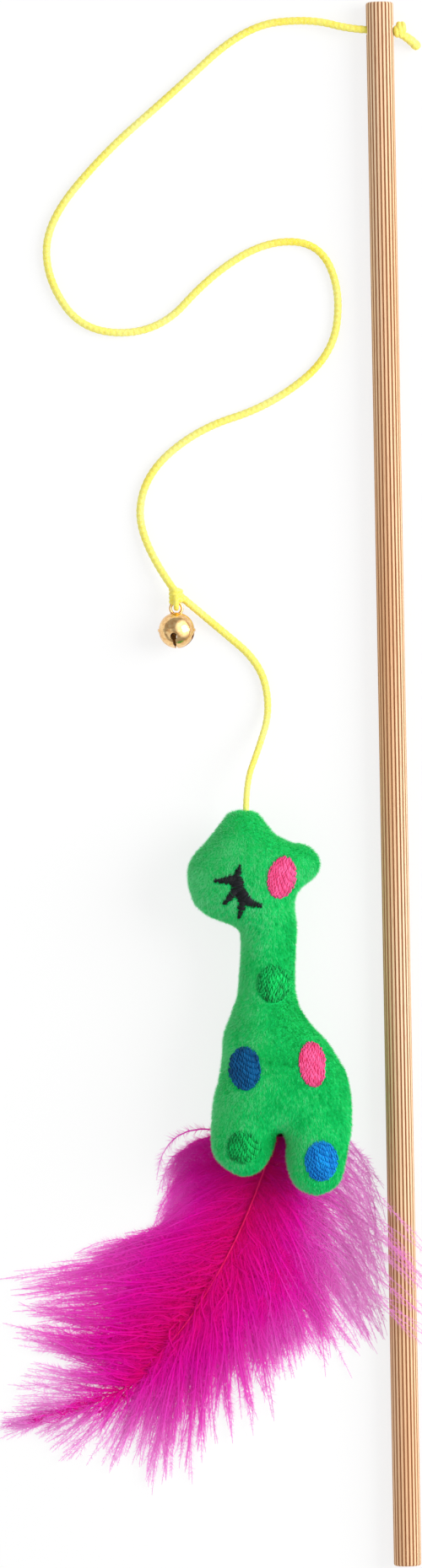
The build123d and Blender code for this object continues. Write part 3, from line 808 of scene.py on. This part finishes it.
def swell(places, tris, edge_count):
    """Half thickness of a stuffed panel: round across a narrow limb, fuller on a wide body."""
    corners = places[tris]
    size = len(places)
    stiff = np.zeros(size)
    pairs = []
    load = np.zeros(size)
    first, second = corners[:, 1] - corners[:, 0], corners[:, 2] - corners[:, 0]
    area = np.abs(first[:, 0] * second[:, 1] - first[:, 1] * second[:, 0])
    for k in range(3):
        here, one, two = tris[:, k], tris[:, (k + 1) % 3], tris[:, (k + 2) % 3]
        a, b = places[one] - places[here], places[two] - places[here]
        weight = (a * b).sum(1) / area / 2
        stiff += np.bincount(one, weight, size) + np.bincount(two, weight, size)
        pairs.append((one, two, weight))
        load += np.bincount(here, area / 6, size)
    free = np.arange(size) >= edge_count

    def pull(value):
        out = stiff * value
        for one, two, weight in pairs:
            out -= np.bincount(one, weight * value[two], size)
            out -= np.bincount(two, weight * value[one], size)
        return out * free

    height = np.zeros(size)
    rest = load * free
    step = rest.copy()
    energy = rest @ rest
    for _ in range(SWELL_STEPS):
        pulled = pull(step)
        share = energy / (step @ pulled)
        height += share * step
        rest -= share * pulled
        new = rest @ rest
        if new < SWELL_DONE:
            break
        step = rest + new / energy * step
        energy = new
    round_height = np.sqrt(np.maximum(2 * height, 0))
    limited = round_height / (1 + (round_height / TOY_LIMIT) ** 4) ** 0.25
    return limited * TOY_THICKEST / limited.max()


def plush_paint():
    """Backing of the pile, a little darker than its tips, as painted shade under the pile."""
    paint = Paint("plush_backing")
    place = paint.place()
    patches = paint.noise(place, 140.0, 3.0)
    grain = paint.noise(place, 2600.0, 2.0)
    base = paint.ramp(patches, (0.3, (12, 200, 100)), (0.7, (32, 222, 118)))
    paint.set(Base_Color=paint.mix(paint.math("MULTIPLY", grain, 0.35), base, linear(4, 150, 70)))
    paint.set(Roughness=0.9, Sheen_Weight=0.4, Specular_IOR_Level=0.1, Sheen_Tint=linear(140, 235, 160))
    paint.bump(grain, 0.25)
    return paint.material


def pile_paint():
    """Pile tips paler than their roots, whose darker colour is painted shade at the base of the pile, with
    lighter and darker strands.
    """
    paint = Paint("plush_pile")
    tint = paint.attribute("tint")
    tip = paint.ramp(tint, (0.0, (2, 210, 112)), (0.4, (16, 246, 146)), (1.0, (152, 252, 196)))
    # Painted shade: the roots are taken a quarter of the way towards dark green.
    shaded_root = paint.mix(0.25, tip, linear(2, 130, 58))
    shade = paint.mix(paint.attribute("along"), shaded_root, tip)
    paint.set(Base_Color=shade, Roughness=0.85, Specular_IOR_Level=0.15)
    paint.set(Sheen_Weight=0.2, Sheen_Tint=linear(170, 240, 180))
    paint.let_through(FIBRE_GLOW, shade)
    return paint.material


def rough(points, scale, seed):
    """Smooth random numbers from about -1 to 1 at places in millimetres."""
    shift = Vector((seed, 2 * seed, 3 * seed))
    return np.array([noise.noise(Vector(p) / scale + shift) for p in points.tolist()])


def settle(verts, tris, edge_count, material):
    """The plush as cloth, held along its seam and swollen by its stuffing, with each move capped."""
    trial = mesh_object("plush_cloth", verts * CLOTH_SCALE, tris, material)
    seam = trial.vertex_groups.new(name="seam")
    seam.add(list(range(edge_count)), 1.0, "REPLACE")
    cloth = trial.modifiers.new("cloth", "CLOTH")
    cloth.settings.use_pressure = True
    cloth.settings.uniform_pressure_force = CLOTH_PRESSURE
    cloth.settings.vertex_group_mass = seam.name
    cloth.settings.effector_weights.gravity = 0.0
    cloth.point_cache.frame_start = 1
    cloth.point_cache.frame_end = CLOTH_FRAMES
    for step in range(1, CLOTH_FRAMES + 1):
        bpy.context.scene.frame_set(step)
    swollen = trial.evaluated_get(bpy.context.evaluated_depsgraph_get())
    places = np.array([vertex.co[:] for vertex in swollen.data.vertices]) / (MM * CLOTH_SCALE)
    mesh = trial.data
    bpy.data.objects.remove(trial)
    bpy.data.meshes.remove(mesh)
    bpy.context.scene.frame_set(1)
    move = places - verts
    far = np.linalg.norm(move, axis=1, keepdims=True)
    return verts + move * np.minimum(1, CLOTH_CAP / np.maximum(far, TINY))


def make_plush():
    """Two panels sewn round the outline and stuffed, and a finder for the upper face."""
    line = closed_curve(TOY_OUTLINE, TOY_EDGE_STEP)
    line = line + TOY_INSET * inward(line)
    places, tris, edge_count = panel(line)
    height = swell(places, tris, edge_count)
    lumps = rough(np.c_[places, 0 * height], TOY_LUMP_SIZE, seed=1)
    height = height + TOY_LUMPS * lumps * np.clip(height / TOY_LUMPS_FROM, 0, 1)
    upper = np.c_[places, height]
    lower = np.c_[places, -height][edge_count:]
    below = np.where(tris < edge_count, tris, tris + len(places) - edge_count)
    order = np.cross(places[tris[0, 1]] - places[tris[0, 0]], places[tris[0, 2]] - places[tris[0, 0]])
    upper_tris = tris if order > 0 else tris[:, ::-1]
    lower_tris = below[:, ::-1] if order > 0 else below
    all_tris = np.vstack([upper_tris, lower_tris])
    backing = plush_paint()
    verts = settle(np.vstack([upper, lower]), all_tris, edge_count, backing) + np.array([*CROWN, SEAM_Z])
    verts[:, 2] = np.maximum(verts[:, 2], TOY_REST_Z)
    plush = mesh_object("giraffe_plush", verts, all_tris, backing)
    finder = BVHTree.FromPolygons(verts.tolist(), upper_tris.tolist())
    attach(plush, "toy")
    forms = ["toy_body", "toy_neck", "toy_head", "toy_crown", "toy_ear", "toy_front_leg", "toy_rear_leg"]
    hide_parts(*forms, "stuffing")
    return verts, all_tris, finder


def oval(spot):
    """A spot's middle and half sizes, and the turn from the toy's axes to its own."""
    x, y, half_width, half_height, lean, *_ = spot
    turn = math.radians(lean)
    to_own = np.array([[math.cos(turn), -math.sin(turn)], [math.sin(turn), math.cos(turn)]])
    return np.array([x, y]), np.array([half_width, half_height]), to_own


def in_spot(points, spot, grow):
    middle, half, to_own = oval(spot)
    own = (points[:, :2] - CROWN - middle) @ to_own.T
    return ((own / (half + grow)) ** 2).sum(1) < 1


def limb_points(limb):
    """Finely spaced middle line of an eye limb, with half widths."""
    return evenly(spline_points(limb), EYE_STEP)[0]


def in_eye(points):
    near = np.zeros(len(points), bool)
    flat = points[:, :2] - CROWN
    low, high = EYE_BOX
    chosen = np.flatnonzero(((flat > low) & (flat < high)).all(1))
    for line in map(limb_points, EYE_LIMBS):
        gaps = np.sqrt(((flat[chosen, None] - line[None, :, :2]) ** 2).sum(2))
        near[chosen] |= (gaps < line[None, :, 2] + PILE_EYE_GAP).any(1)
    return near


def blades(roots, sides, tips):
    """Corners of one triangle for each strand."""
    return np.stack([roots - sides, roots + sides, tips], 1).reshape(-1, 3)


def make_pile(verts, tris):
    """Short strands over the whole plush, combed towards the feet and left out of the embroidery."""
    corners = verts[tris]
    cross = np.cross(corners[:, 1] - corners[:, 0], corners[:, 2] - corners[:, 0])
    normals = np.zeros_like(verts)
    for k in range(3):
        np.add.at(normals, tris[:, k], cross)
    normals = unit(normals)
    front = corners[:, :, 2].mean(1) > SEAM_Z - PILE_BACK_DEPTH
    share = np.linalg.norm(cross, axis=1) * np.where(front, 1.0, PILE_BACK_SHARE)
    chosen = rng.choice(len(tris), PILE_COUNT, p=share / share.sum())
    one, two = rng.random((2, PILE_COUNT))
    fold = one + two > 1
    one[fold], two[fold] = 1 - one[fold], 1 - two[fold]
    weights = np.stack([1 - one - two, one, two], 1)[:, :, None]
    roots = (corners[chosen] * weights).sum(1)
    facing = (normals[tris[chosen]] * weights).sum(1)
    facing = unit(facing + PILE_FACE_SHARE * unit(cross)[chosen])
    bare = in_eye(roots)
    for spot in SPOTS.values():
        bare |= in_spot(roots, spot, PILE_SPOT_GAP)
    kept = ~(bare & (roots[:, 2] > SEAM_Z))
    roots, facing = roots[kept], facing[kept]
    count = len(roots)
    patch = rough(roots, PATCH_SIZE, seed=5)
    swirl = SWIRL_ANGLE * rough(roots, SWIRL_SIZE, seed=9)
    grain = rough(roots * GRAIN_STRETCH, GRAIN_SIZE, seed=13)

    def varied(plain, by_patch, by_grain):
        return plain + by_patch * patch + by_grain * grain

    nap = np.stack([np.sin(swirl), -np.cos(swirl), 0 * swirl], 1)
    nap = unit(nap - facing * (nap * facing).sum(1, keepdims=True))
    lean = varied(*PILE_LEAN)[:, None]
    heading = unit(facing + lean * nap + PILE_SHAKE * rng.normal(size=(count, 3)))
    tips = roots + heading * rng.uniform(*PILE_LENGTH, count)[:, None]
    roots = roots - PILE_SINK * facing
    tips[:, 2] = np.maximum(tips[:, 2], PILE_FLOOR)
    sides = PILE_HALF_WIDTH * unit(np.cross(heading, facing + PILE_TWIST * rng.normal(size=(count, 3))))
    shares = {
        "left": np.clip(-facing[:, 0], 0, 1),
        "right": np.clip(facing[:, 0], 0, 1),
        "top": np.clip(facing[:, 1], 0, 1),
        "edge": np.clip(EDGE_SLOPE - np.abs(facing[:, 2]), 0, EDGE_SLOPE),
        "head": np.clip((roots[:, 1] - CROWN[1] + HEAD_LENGTH) / HEAD_BLEND, 0, 1),
    }
    # Painted sheen: the tint goes paler or darker by the way the pile faces, at the rim and on the head.
    painted_sheen = sum(PILE_PAINTED_SHEEN[name] * share for name, share in shares.items())
    tint = varied(*PILE_TINT) + painted_sheen + PILE_TINT_SHAKE * rng.normal(size=count)
    tint = np.repeat(np.clip(tint, *PILE_TINT_LIMITS), 3)
    along = np.tile([0.0, 0.0, 1.0], count)
    strands = np.arange(3 * count).reshape(-1, 3)
    pile = mesh_object("plush_pile", blades(roots, sides, tips), strands, pile_paint())
    note(pile, along=along, tint=tint)
    across = tint + PILE_MAP_NUDGE * np.tile([-1, 1, 0], count)
    lay_flat(pile, across, MAP_EDGE + (1 - 2 * MAP_EDGE) * along)
    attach(pile, "toy")


def thread_paint(name):
    """Thread, lighter and darker from stitch to stitch."""
    paint = Paint(name)
    place = paint.place()
    strands = paint.noise(place, 2400.0, 2.0)
    broad = paint.noise(place, 420.0, 2.0)
    shade = paint.math("MULTIPLY", paint.attribute("tint"), 0.35)
    for part, weight in ((strands, 0.3), (broad, 0.45)):
        shade = paint.math("ADD", shade, paint.math("MULTIPLY", part, weight))
    dark, light = THREADS[name]
    paint.set(Base_Color=paint.ramp(shade, (0.25, dark), (0.72, light)))
    paint.set(Roughness=0.5, Specular_IOR_Level=0.18)
    paint.bump(strands, 0.05)
    return paint.material


def on_plush(finder, place, lift):
    """A point lifted off the upper plush, at a place measured from the crown."""
    above = Vector((*(place + CROWN), ABOVE_TOY))
    at, normal, _, _ = finder.ray_cast(above, Vector(-UP))
    return np.array(at) + np.array(normal) * lift


def stitch(finder, start, end, radius, rise):
    """One thread pulled through the plush at both ends."""
    points = []
    for share in np.linspace(0, 1, len(STITCH_TAPER)):
        lift = rise * math.sin(math.pi * share) ** STITCH_ROUNDNESS - STITCH_SINK
        points.append(on_plush(finder, start + (end - start) * share, lift))
    return tube(np.array(points), radius * STITCH_TAPER, STITCH_SIDES)


def stitched_object(name, pieces, pad_size, material, shades):
    """A pad and its stitches as one piece, with a shade for each stitch."""
    thing = mesh_object(name, *gather(pieces), material)
    per_stitch = len(STITCH_TAPER) * STITCH_SIDES
    note(thing, tint=np.r_[np.zeros(pad_size), np.repeat(shades, per_stitch)])
    return thing


def spot_pad(finder, spot):
    """Padding under a spot's threads, sunk at its rim."""
    middle, half, to_own = oval(spot)
    verts = []
    for ring in range(PAD_RINGS + 1):
        lift = PAD_LIFT if ring < PAD_RINGS else -PAD_SINK
        for angle in np.linspace(0, FULL_TURN, PAD_SIDES, endpoint=False):
            own = ring / PAD_RINGS * half * np.array([math.cos(angle), math.sin(angle)])
            verts.append(on_plush(finder, middle + to_own.T @ own, lift))
    return np.array(verts), tube_faces(PAD_RINGS + 1, PAD_SIDES)


def make_spot(name, spot, material, finder):
    """Fill stitches over a padded oval."""
    middle, half, to_own = oval(spot)
    *_, heading, _ = spot
    aim = math.radians(heading)
    along = np.array([math.sin(aim), math.cos(aim)])
    across = np.array([along[1], -along[0]])
    reach = half.max()
    steps = np.linspace(-reach, reach, ROW_STEPS)
    pieces = [spot_pad(finder, spot)]
    shades = []
    for row, offset in enumerate(np.arange(-reach, reach, STITCH_GAP)):
        own = (offset * across + steps[:, None] * along) @ to_own.T
        held = steps[((own / half) ** 2).sum(1) < 1]
        if len(held) < LEAST_ROW_STEPS:
            continue
        low, high = held[0], held[-1]
        at = low - STITCH_LENGTH * (ROW_START + ROW_SHIFT * (row % ROW_SHIFTS))
        while at < high:
            start = max(low, at) - STITCH_OVERLAP
            end = min(high, at + STITCH_LENGTH) + STITCH_OVERLAP
            if end - start > LEAST_STITCH:
                shake = rng.normal(0, STITCH_SHAKE, 4)
                first = middle + offset * across + start * along + shake[:2]
                last = middle + offset * across + end * along + shake[2:]
                pieces.append(stitch(finder, first, last, STITCH_RADIUS, STITCH_RISE))
                # Painted light and shade: lighter near a point right of the middle, darker towards the rim.
                off_centre = to_own @ ((first + last) / 2 - middle) / half - PAINTED_LIGHT_CENTRE
                depth = 1 - (off_centre**2).sum()
                shades.append(np.clip(PAINTED_SHADE_WEIGHT * depth + rng.uniform(*SHADE_SPREAD), 0, 1))
            at += STITCH_LENGTH
    thing = stitched_object(f"{name}_stitches", pieces, len(pieces[0][0]), material, shades)
    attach(thing, "toy")
    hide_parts(name)
    return thing


def make_eye(finder, material):
    """Satin stitches across the lid and the lashes."""
    pieces = []
    for limb in EYE_LIMBS:
        line = evenly(limb_points(limb), EYE_STITCH_GAP)[0]
        ahead = unit(np.gradient(line[:, :2], axis=0))
        across = np.stack([-ahead[:, 1], ahead[:, 0]], 1)
        for (x, y, half), side in zip(line, across):
            width = max(half + rng.normal(0, EYE_EDGE_SHAKE), EYE_LEAST_WIDTH) * side
            middle = np.array([x, y]) + rng.normal(0, EYE_SHAKE, 2)
            ends = (middle - width, middle + width)
            pieces.append(stitch(finder, *ends, EYE_STITCH_RADIUS, EYE_STITCH_RISE))
    eye = stitched_object("eye_stitches", pieces, 0, material, rng.random(len(pieces)))
    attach(eye, "toy")
    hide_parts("eye")


def make_embroidery(finder, threads):
    for name, (*_, slot) in SPOTS.items():
        make_spot(name, SPOTS[name], threads[slot], finder)
    make_eye(finder, threads["black_thread"])


def feather_paint():
    """Deep magenta at the quill, violet pink towards the tips."""
    paint = Paint("marabou")
    along = paint.attribute("along")
    colour = paint.ramp(
        along,
        (0.0, (246, 2, 124)),
        (0.28, (252, 2, 166)),
        (0.5, (254, 20, 206)),
        (0.74, (254, 92, 226)),
        (1.0, (254, 168, 240)),
    )
    darker = paint.math("SUBTRACT", 0.5, paint.math("MULTIPLY", along, 0.35))
    shade = paint.mix(paint.math("MULTIPLY", paint.attribute("tint"), darker), colour, linear(190, 2, 128))
    paint.set(Base_Color=shade, Roughness=0.65, Specular_IOR_Level=0.08)
    paint.let_through(FIBRE_GLOW, shade)
    return paint.material


def barbs_between(guides, count, lock=LOCK_SIZE):
    """Roots, bends, tips, fullness and reach spread along guide barbs, and drawn into pointed tufts."""
    guides = np.array(guides)
    fine = np.linspace(0, len(guides) - 1, GUIDE_STEPS)
    weight = np.interp(fine, np.arange(len(guides)), guides[:, 6]) ** SPARSE_DENSITY
    at = np.sort(np.interp(rng.random(count), np.cumsum(weight) / weight.sum(), fine))
    low = np.minimum(at.astype(int), len(guides) - 2)
    share = (at - low)[:, None]
    rows = guides[low] * (1 - share) + guides[low + 1] * share
    roots, bends, tips, fullness, core = rows[:, 0:2], rows[:, 2:4], rows[:, 4:6], rows[:, 6], rows[:, 7]
    drawn_in = np.clip((fullness - TUFT_FULLNESS) / TUFT_FULLNESS, LEAST_TUFT, 1)
    reach = np.clip(REACH_MOST - np.abs(rng.normal(0, REACH_SPREAD, count)), *REACH_LIMITS)
    for size, (spread, pull) in ((lock, LOCK_DRAW), (min(lock, CLUMP_SIZE), CLUMP_DRAW)):
        groups = np.arange(count) // size
        total = groups[-1] + 1
        centre = np.stack([np.bincount(groups, column) / np.bincount(groups) for column in tips.T], 1)
        drawn = (rng.uniform(*pull, total)[groups] * drawn_in)[:, None]
        tips = tips * (1 - drawn) + centre[groups] * drawn
        off_middle = np.abs((np.arange(count) % size) / size * 2 - 1)
        shorter = spread * drawn_in
        reach *= (1 - shorter * rng.random(total)[groups]) * (TUFT_POINT - shorter * off_middle)
    ends_early = rng.random(count) > LONG_SHARE
    reach *= np.where(ends_early, core * (1 - CORE_SPREAD * rng.random(count) ** 2), 1)
    length = reach[:, None]
    bends = roots + (bends - roots) * length + rng.normal(0, BEND_SHAKE, (count, 2))
    tips = roots + (tips - roots) * length + rng.normal(0, TIP_SHAKE, (count, 2))
    roots = roots - ROOT_OVERLAP * (bends - roots) + rng.normal(0, ROOT_SHAKE, (count, 2))
    return roots, bends, tips, fullness, reach


def barb_paths(roots, bends, tips, fullness, low, high, puff, wild):
    """Smooth barbs from root to tip, each with its own height and a slight wave."""
    count = len(roots)
    along = np.linspace(0, 1, BARB_POINTS)[None]
    share = along[:, :, None]
    middle = 2 * share * (1 - share) * bends[:, None]
    flat = (1 - share) ** 2 * roots[:, None] + middle + share**2 * tips[:, None]
    size = (BARB_WAVE * fullness + wild * (1 - fullness))[:, None] * rng.normal(0, 1, (count, 1))
    wave = size * np.sin(along * np.pi * rng.uniform(*BARB_WAVES, (count, 1)))
    side = unit(np.stack([-(tips - roots)[:, 1], (tips - roots)[:, 0]], 1))
    flat = flat + side[:, None] * wave[..., None]
    from_stitch = np.clip((FEATHER_ROOT[1] - roots[:, 1:]) / FULL_HEIGHT_FROM, ROOT_FLATNESS, 1)
    base = low + (high - low) * from_stitch * rng.random((count, 1))
    swollen = puff * from_stitch * rng.uniform(*BARB_PUFF, (count, 1))
    rise = base + swollen * np.sin(np.pi * along) ** 2
    rise = rise * (1 - TIP_DROOP * along) + BARB_FLOOR
    return np.concatenate([flat + CROWN, rise[..., None]], 2)


def clear_of_rod(paths):
    """The same barbs, with those that would reach the rod made shorter, each to its own distance from it."""
    edge = ROD_LEFT - ROD_CLEARANCE - ROD_EDGE_DEPTH * rng.random(len(paths))
    roots = paths[:, :1, :2]
    room = edge - roots[:, 0, 0]
    wanted = np.maximum(paths[:, :, 0].max(1) - roots[:, 0, 0], room)
    shrink = (room / wanted)[:, None, None]
    return np.concatenate([roots + (paths[:, :, :2] - roots) * shrink, paths[:, :, 2:]], 2)


def barb_vanes(paths, fullness):
    """Flat tapered barbs, each raised along its middle, many at once, as triangles."""
    count, points, _ = paths.shape
    ahead = unit(np.gradient(paths, axis=1))
    side = unit(np.cross(ahead, UP + rng.normal(0, BARB_TILT, (count, 1, 3))))
    taper = np.interp(np.linspace(0, 1, points), *zip(*BARB_TAPER))
    widest = BARB_HALF_WIDTH * np.maximum(fullness, LEAST_FULLNESS) ** WIDTH_BY_FULLNESS
    offset = side * (widest[:, None] * taper + BARB_LEAST_HALF_WIDTH)[:, :, None]
    ridge = paths + BARB_RIDGE * UP * taper[None, :, None]
    verts = np.stack([paths - offset, ridge, paths + offset], 2)
    base = (np.arange(points - 1)[:, None] * 3 + np.array([0, 1])).ravel()
    base = (base + (np.arange(count) * points * 3)[:, None]).ravel()
    halves = [np.stack([base, base + 1, base + 4], 1), np.stack([base, base + 4, base + 3], 1)]
    return verts.reshape(-1, 3), np.concatenate(halves)


def barbules(paths, fullness):
    """Fine down along both sides of each barb, as one-triangle hairs."""
    count, points, _ = paths.shape
    lengths = np.linalg.norm(np.diff(paths, axis=1), axis=2).sum(1)
    owner = np.repeat(np.arange(count), (2 * np.sqrt(fullness) * lengths / BARBULE_STEP).astype(int))
    total = len(owner)
    at = rng.uniform(*BARBULE_SPAN, total)
    spot = at * (points - 1)
    low = np.minimum(spot.astype(int), points - 2)
    share = (spot - low)[:, None]
    here, there = paths[owner, low], paths[owner, low + 1]
    roots = here * (1 - share) + there * share
    ahead = unit(there - here)
    side = unit(np.cross(ahead, UP)) * rng.choice([-1.0, 1.0], total)[:, None]
    heading = side + ahead * rng.uniform(*BARBULE_LEAN, (total, 1))
    heading = unit(heading + rng.normal(0, BARBULE_SHAKE, (total, 3)))
    grown = np.interp(at, (0, 1), BARBULE_GROWTH) * (1 - at**BARBULE_END)
    grown *= BARBULE_SPARSE + (1 - BARBULE_SPARSE) * fullness[owner]
    tips = roots + heading * (rng.uniform(*BARBULE_LENGTH, total) * grown)[:, None]
    tips[:, 2] = np.maximum(tips[:, 2], BARBULE_FLOOR)
    sides = BARBULE_HALF_WIDTH * unit(np.cross(heading, UP + BARBULE_SHAKE * rng.normal(size=(total, 3))))
    return blades(roots, sides, tips), at, owner


def make_plume(name, paths, fullness, reach, material):
    """Barbs and their down as one piece."""
    count, points, _ = paths.shape
    barb_verts, barb_faces = barb_vanes(paths, fullness)
    down_verts, down_at, owner = barbules(paths, fullness)
    down_faces = np.arange(len(down_verts)).reshape(-1, 3)
    verts, faces = gather([(barb_verts, barb_faces), (down_verts, down_faces)])
    plume = mesh_object(name, verts, faces, material)
    fade = SHORT_FADE + (1 - SHORT_FADE) * reach
    sparse = 1 - fullness
    barb_along = fade[:, None] * np.linspace(0, 1, points) + SPARSE_BARB_PALENESS * sparse[:, None]
    down_along = down_at * fade[owner] + SPARSE_PALENESS * sparse[owner]
    along = np.clip(np.repeat(np.r_[barb_along.ravel(), down_along], 3), 0, 1)
    barb_tint = rng.uniform(*BARB_TINT, count)
    tint = np.repeat(np.r_[np.repeat(barb_tint, points), BARBULE_TINT_SHARE * barb_tint[owner]], 3)
    note(plume, along=along, tint=tint)
    spread = np.r_[np.tile([-1, 0, 1], count * points), np.tile([-1, 1, 0], len(owner))]
    nudge = np.r_[np.zeros(count * points * 3), np.tile([0, 0, 1], len(owner))]
    across = MAP_EDGE + PLUME_MAP_SIZE * tint + PLUME_MAP_NUDGE * spread
    lay_flat(plume, across, MAP_EDGE + PLUME_MAP_SIZE * along + PLUME_MAP_NUDGE * nudge)
    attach(plume, "feather")
    return plume


def make_plumes():
    """The three plumes, the strays that lie over the rod, and the short down below."""
    material = feather_paint()
    for name, (guides, count, lie) in PLUMES.items():
        *ends, fullness, reach = barbs_between(guides, count)
        paths = clear_of_rod(barb_paths(*ends, fullness, **lie))
        make_plume(name, paths, fullness, reach, material)
    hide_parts("main_feather")
    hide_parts("side_feather")
    *ends, fullness, reach = barbs_between(STRAYS, STRAY_BARBS, STRAY_LOCK)
    paths = barb_paths(*ends, fullness, **STRAY_LIE)
    over_rod = np.clip((paths[:, :, 0] - STRAY_RISE_FROM) / STRAY_RISE_SPAN, 0, 1)
    paths[:, :, 2] += STRAY_RISE * over_rod * over_rod * (3 - 2 * over_rod)
    make_plume("stray_barbs", paths, fullness, reach, material)
    lengths = rng.uniform(*DOWN_LENGTH, (2 * DOWN_BARBS, 1))
    halves = [barbs_between(guides, DOWN_BARBS) for guides in (MAIN_LEFT, MAIN_RIGHT)]
    roots, bends, tips, fullness, reach = (np.concatenate(pair) for pair in zip(*halves))
    short = [roots, roots + (bends - roots) * lengths, roots + (tips - roots) * lengths]
    paths = barb_paths(*short, fullness, **DOWN_LIE)
    fullness = DOWN_FULLNESS + (1 - DOWN_FULLNESS) * fullness
    make_plume("under_down", paths, fullness, reach * lengths[:, 0], material)


def quill_tube(points, thick, thin):
    line, reach = evenly(spline_points([(x + CROWN[0], y + CROWN[1], z) for x, y, z in points]), QUILL_STEP)
    return tube(line, thick + (thin - thick) * reach / reach[-1], THREAD_SIDES)


def make_quills(thread):
    """Both quills, and the thread that binds and holds them."""
    paint = Paint("quill")
    streaks = paint.noise(paint.stretch(paint.place(), (900, 200, 900)), 1.0, 2.0)
    paint.set(Base_Color=paint.ramp(streaks, (0.35, (216, 6, 90)), (0.65, (238, 28, 116))))
    paint.set(Roughness=0.6, Specular_IOR_Level=0.1)
    tubes = [quill_tube(MAIN_QUILL, *MAIN_QUILL_RADII), quill_tube(SIDE_QUILL, *SIDE_QUILL_RADII)]
    quills = mesh_object("quills", *gather(tubes), paint.material)
    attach(quills, "feather")
    turn = np.linspace(0, FULL_TURN * BINDING_TURNS, BINDING_POINTS)
    wrap = BINDING_RADIUS * np.stack([np.cos(turn), np.sin(turn)], 1) + CROWN + FEATHER_ROOT
    wrap = np.c_[wrap, np.linspace(*BINDING_Z, BINDING_POINTS)]
    strand = tube(wrap, np.full(BINDING_POINTS, BINDING_STRAND), THREAD_SIDES)
    binding = mesh_object("binding_turns", *strand, thread)
    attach(binding, "feather")
    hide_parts("quill_binding")
    dress("feather_stitch", thread)


make_view()
make_sky()
for lamp_name, lamp_values in LAMPS.items():
    make_lamp(lamp_name, *lamp_values)
make_floor()
make_cords()
paint_rod()
paint_bell()
plush_verts, plush_tris, plush_finder = make_plush()
make_pile(plush_verts, plush_tris)
thread_paints = {name: thread_paint(name) for name in THREADS}
make_embroidery(plush_finder, thread_paints)
make_plumes()
make_quills(thread_paints["sewing_thread"])
